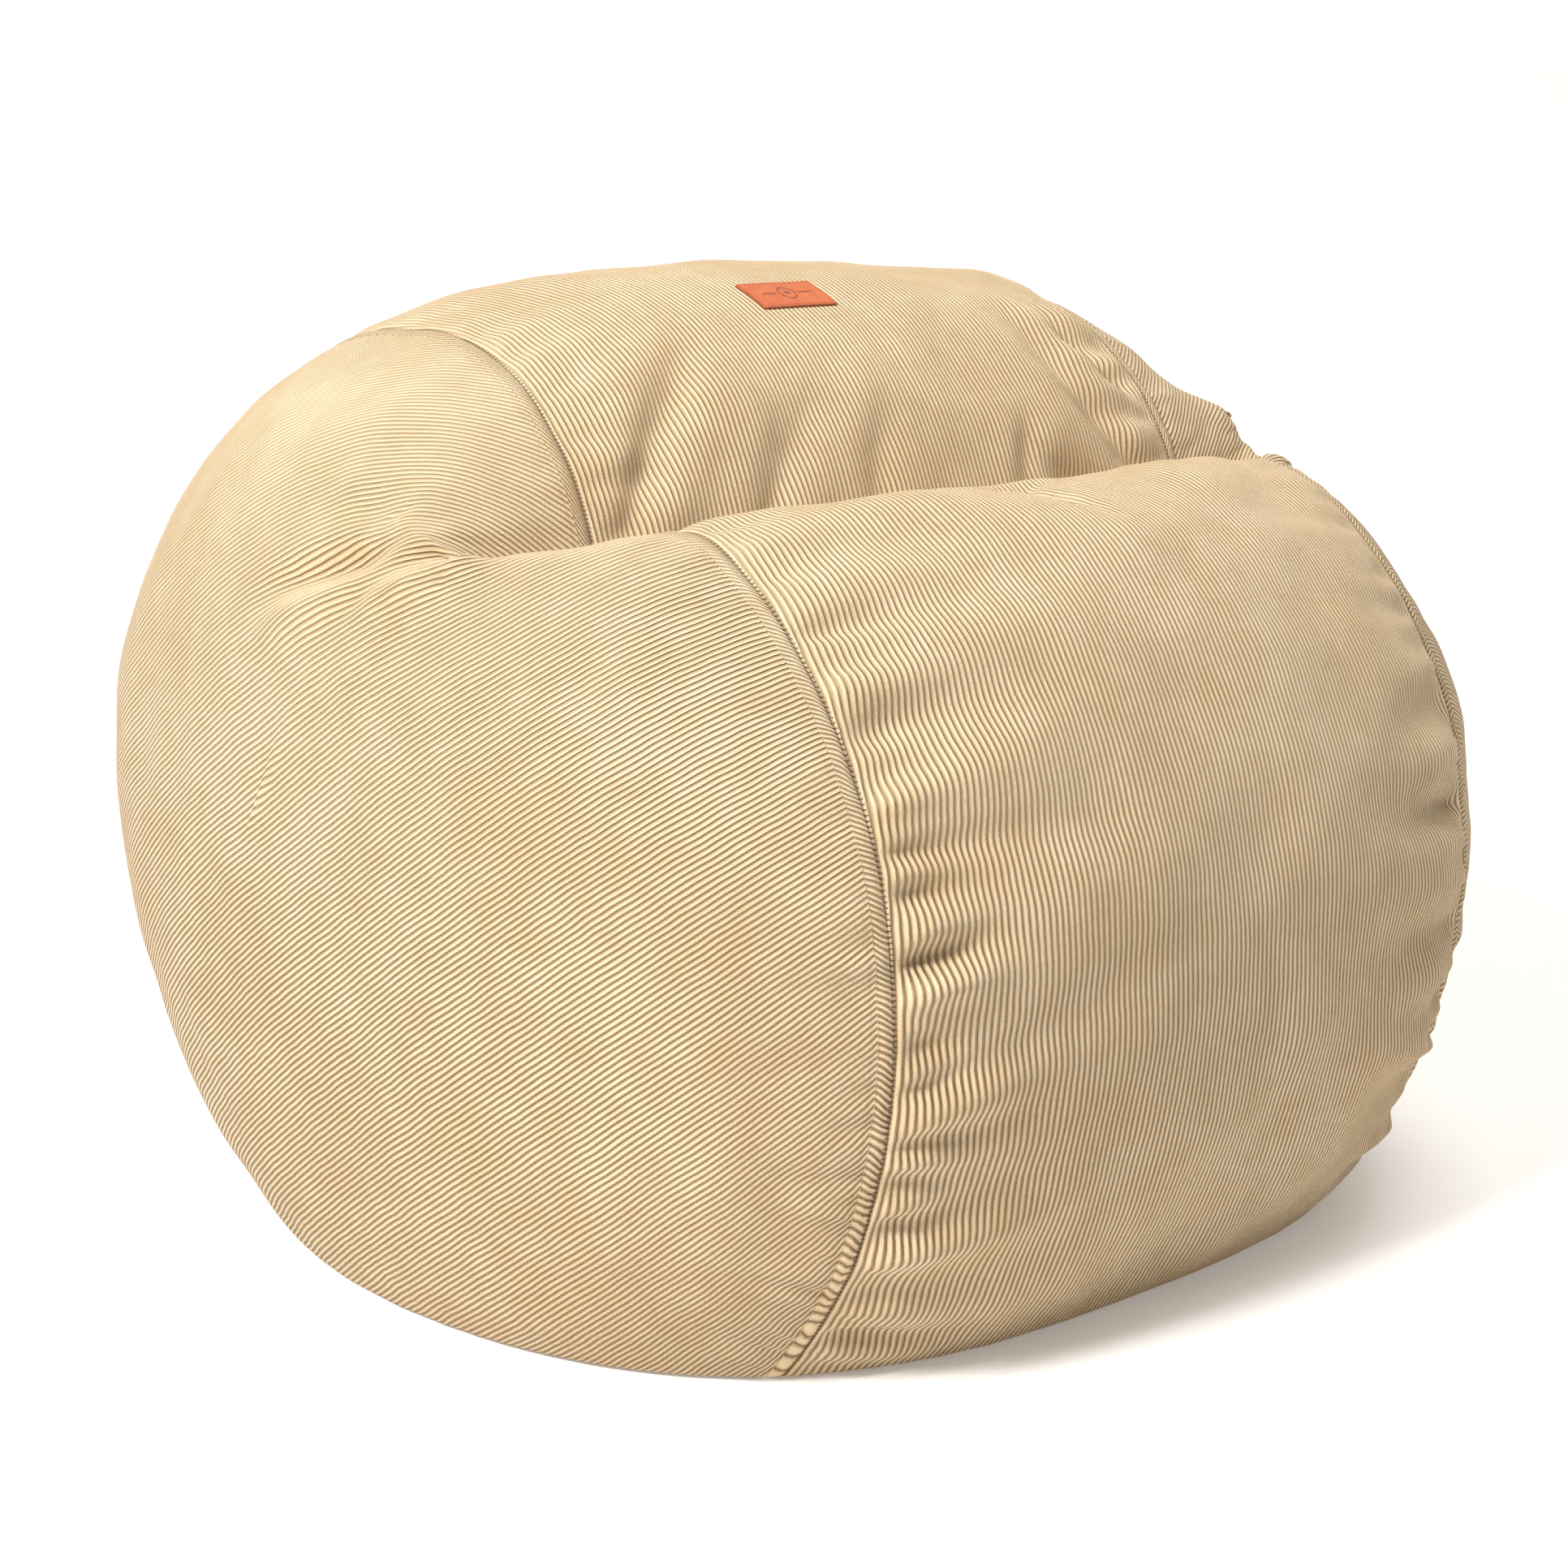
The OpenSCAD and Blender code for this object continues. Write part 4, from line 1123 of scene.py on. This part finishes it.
# %% Leather
def label_leather():
    made, tree, shader = new_material("label_leather")
    flat = add(tree, "ShaderNodeUVMap", uv_map="Weave").outputs[0]
    pressed_in = add(tree, "ShaderNodeAttribute", attribute_name="mark").outputs[2]
    edge = add(tree, "ShaderNodeAttribute", attribute_name="edge").outputs[2]
    pores = add(tree, "ShaderNodeTexVoronoi", {"Vector": flat, "Scale": 1500.0, "Randomness": 1.0},
                feature="DISTANCE_TO_EDGE")
    tone = noise(tree, flat, 90.0, 4.0, 0.6)
    shade = mixed(tree, between(tree, tone, 0.32, 0.68), srgb(184, 84, 34), srgb(204, 104, 46))
    shade = mixed(tree, maths(tree, "MULTIPLY", pressed_in, 0.80), shade, srgb(84, 42, 22))
    shade = mixed(tree, between(tree, edge, 0.0001, 0.0011, 0.55, 0.0), shade, srgb(120, 62, 36))
    tree.links.new(shade, shader.inputs["Base Color"])
    tree.links.new(between(tree, tone, 0.2, 0.8, 0.42, 0.60), shader.inputs["Roughness"])
    height = between(tree, pores.outputs["Distance"], 0.0, 0.12)
    bump = add(tree, "ShaderNodeBump", {"Strength": 0.35, "Distance": 0.0002, "Height": height})
    tree.links.new(bump.outputs[0], shader.inputs["Normal"])
    return made


label_mesh.materials.append(label_leather())
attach(label, "root")
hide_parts("label_patch")
du, dv = label_w / 2 - 0.0020, label_d / 2 - 0.0020
ring_uv = [(t, -dv) for t in np.linspace(-du, du, 30)] + [(du, t) for t in np.linspace(-dv, dv, 20)][1:] \
    + [(t, dv) for t in np.linspace(du, -du, 30)][1:] + [(-du, t) for t in np.linspace(dv, -dv, 20)][1:-1]
ring_line = []
for a, b in ring_uv:
    i = int(round((a / label_w + 0.5) * (across_n - 1)))
    j = int(round((b / label_d + 0.5) * (along_n - 1)))
    ring_line.append(top[i, j] + normal[i, j] * 0.0001)
bead_piece("stitches_label", [(ring_line, True)], thread("label_thread", (176, 96, 60)), "label_leather",
           seed=5, Pitch=0.0030, Length=0.0022, Width=0.0006, Height=0.0006)

# %% [markdown]
# ## The zips
# The tapes, coils, stops, sliders and the pull keep the frame's exact shapes, because they
# move on its joints. They get woven, moulded and plated finishes, and each coil gets its
# teeth as rings of beads set along its arc.

# %% Finishes of the zips
def zip_tape_weave():
    made, tree, shader = new_material("zip_tape_weave")
    place = add(tree, "ShaderNodeTexCoord").outputs["Object"]
    split = add(tree, "ShaderNodeSeparateXYZ", {0: place})
    rise = maths(tree, "ADD", maths(tree, "MULTIPLY", split.outputs[1], 0.469),
                 maths(tree, "MULTIPLY", split.outputs[2], 0.883))
    ribs = maths(tree, "SINE", maths(tree, "MULTIPLY", split.outputs[0], 7000.0))
    cords = maths(tree, "SINE", maths(tree, "MULTIPLY", rise, 5200.0))
    twill = maths(tree, "MULTIPLY", ribs, cords)
    fuzz = noise(tree, place, 1400.0, 2.0)
    shade = mixed(tree, between(tree, maths(tree, "ADD", twill, fuzz), 0.0, 1.4),
                  srgb(176, 148, 110), srgb(212, 188, 152))
    tree.links.new(shade, shader.inputs["Base Color"])
    bump = add(tree, "ShaderNodeBump", {"Strength": 0.5, "Distance": 0.0003, "Height": twill})
    tree.links.new(bump.outputs[0], shader.inputs["Normal"])
    shader.inputs["Roughness"].default_value = 0.85
    shader.inputs["Sheen Weight"].default_value = 0.15
    return made


def nylon_coil():
    made, tree, shader = new_material("nylon_coil")
    place = add(tree, "ShaderNodeTexCoord").outputs["Object"]
    cloud = noise(tree, place, 60.0, 2.0)
    tree.links.new(mixed(tree, cloud, srgb(158, 132, 98), srgb(186, 160, 122)), shader.inputs["Base Color"])
    tree.links.new(between(tree, noise(tree, place, 700.0), 0.3, 0.7, 0.32, 0.46), shader.inputs["Roughness"])
    return made


def plated_metal():
    made, tree, shader = new_material("plated_metal")
    place = add(tree, "ShaderNodeTexCoord").outputs["Object"]
    cloud = noise(tree, place, 240.0, 3.0, 0.6)
    drawn_out = add(tree, "ShaderNodeMapping", {0: place, 3: (0.15, 1.0, 1.0)}).outputs[0]
    brushed = noise(tree, drawn_out, 3200.0, 2.0)
    tree.links.new(mixed(tree, between(tree, cloud, 0.35, 0.75), srgb(176, 168, 152), srgb(206, 200, 186)),
                   shader.inputs["Base Color"])
    tree.links.new(between(tree, maths(tree, "ADD", cloud, brushed), 0.6, 1.4, 0.22, 0.42),
                   shader.inputs["Roughness"])
    bump = add(tree, "ShaderNodeBump", {"Strength": 0.2, "Distance": 0.0001, "Height": brushed})
    tree.links.new(bump.outputs[0], shader.inputs["Normal"])
    shader.inputs["Metallic"].default_value = 1.0
    return made


tape_weave, coil_nylon, zip_metal = zip_tape_weave(), nylon_coil(), plated_metal()


def refinish(node, material):
    shown = nodes[node]
    if not shown.material_slots:
        shown.data.materials.append(material)
    for place in shown.material_slots:
        place.material = material


for node in ("zip_tape_upper", "zip_tape_lower", "casing_zip_tape_upper", "casing_zip_tape_lower"):
    refinish(node, tape_weave)
for node in ("zip_coil_upper", "zip_coil_lower", "casing_zip_coil_upper", "casing_zip_coil_lower"):
    refinish(node, coil_nylon)
for node in ("zip_start_stop", "zip_end_stop", "zip_slider", "zip_pull", "casing_zip_slider"):
    refinish(node, zip_metal)


# %% Teeth along the coils
drop = math.radians(zip_drop)
arc_axis = np.array([0, math.sin(drop), math.cos(drop)])
arc_out = np.array([0, math.cos(drop), -math.sin(drop)])
arc_centre = np.array([0, axis_y, axis_z]) + arc_out * (zip_reach - zip_r)


def arc_line(radius, rise, end):
    half = math.asin(end / radius)
    return [arc_centre + (arc_out * math.cos(t) + np.array([math.sin(t), 0, 0])) * radius + arc_axis * rise
            for t in np.linspace(-half, half, 240)]


cover_zip_r, casing_zip_r = zip_r - 0.0039, zip_r - 0.0174
for name, radius, scale in (("zip_teeth", cover_zip_r, 1.0), ("casing_zip_teeth", casing_zip_r, 0.8)):
    coil = 0.0024 * scale
    lines = [(arc_line(radius + coil / 2, side * (0.00105 + coil / 2), seam_x - 0.0165), False)
             for side in (-1, 1)]
    bead_piece(name, lines, coil_nylon, "zip_coil" if scale == 1 else "casing_coil", seed=7,
               Pitch=0.0015 * scale, Length=0.0008 * scale, Width=coil + 0.0003, Height=coil + 0.0003,
               Disorder=0.0)

# %% [markdown]
# ## Light, floor and camera
# The chair stands on a plain pale floor that runs up behind it. A large soft light from the
# upper left shapes the folds, a broad one above and a weak one on the right fill them, and a
# pale sky keeps the shadows open.

# %% Floor and backdrop
def sweep_floor():
    width, depth, rise, bend = 9.0, 4.2, 5.0, 1.2
    side = [(-depth, 0.0)] + [(2.4 + bend * math.sin(t), bend - bend * math.cos(t))
                              for t in np.linspace(0, math.pi / 2, 14)] + [(2.4 + bend, rise)]
    turn = Vector((math.sin(math.radians(41.4)), math.cos(math.radians(41.4)), 0))
    across = Vector((turn.y, -turn.x, 0))
    verts = [turn * y + across * x + Vector((0, 0, z - 0.0004)) for y, z in side for x in (-width, width)]
    quads = [(2 * k, 2 * k + 1, 2 * k + 3, 2 * k + 2) for k in range(len(side) - 1)]
    mesh = bpy.data.meshes.new("floor")
    mesh.from_pydata([tuple(v) for v in verts], [], quads)
    mesh.polygons.foreach_set("use_smooth", [True] * len(quads))
    floor = bpy.data.objects.new("floor", mesh)
    scene.collection.objects.link(floor)
    made, tree, shader = new_material("floor_paint")
    shader.inputs["Base Color"].default_value = (0.90, 0.90, 0.90, 1)
    shader.inputs["Roughness"].default_value = 0.9
    shader.inputs["Emission Color"].default_value = (1, 1, 1, 1)
    shader.inputs["Emission Strength"].default_value = 0.20
    mesh.materials.append(made)
    return floor


floor = sweep_floor()


# %% Lights
def area_light(name, place, target, size, power, colour):
    data = bpy.data.lights.new(name, "AREA")
    data.shape = "SQUARE"
    data.size = size
    data.energy = power
    data.color = colour
    lamp = bpy.data.objects.new(name, data)
    scene.collection.objects.link(lamp)
    lamp.location = place
    lamp.rotation_euler = (Vector(target) - Vector(place)).to_track_quat("-Z", "Y").to_euler()
    return lamp


area_light("key", (-2.9, -0.45, 2.8), (0, 0, 0.35), 0.9, 165, (1.0, 0.995, 0.99))
area_light("side", (3.2, 0.6, 1.8), (0.3, 0, 0.2), 1.8, 22, (1.0, 0.96, 0.90))
area_light("top", (0.5, -0.7, 3.6), (0, 0, 0.4), 1.6, 62, (1.0, 0.985, 0.965))
world = bpy.data.worlds.new("sky")
world.use_nodes = True
world.node_tree.nodes["Background"].inputs[0].default_value = (1.0, 0.95, 0.87, 1)
world.node_tree.nodes["Background"].inputs[1].default_value = 0.19
scene.world = world
scene.view_settings.view_transform = "Standard"

# %% Camera
eye = bpy.data.cameras.new("camera")
eye.lens = 66.9
eye.sensor_width = 36.0
eye.shift_x = 0.0076
camera = bpy.data.objects.new("camera", eye)
scene.collection.objects.link(camera)
camera.location = (-1.5523, -1.722, 0.8538)
camera.rotation_euler = (math.radians(77.0671), 0, math.radians(-41.3829))
scene.camera = camera

# %% Update the scene
bpy.context.view_layer.update()
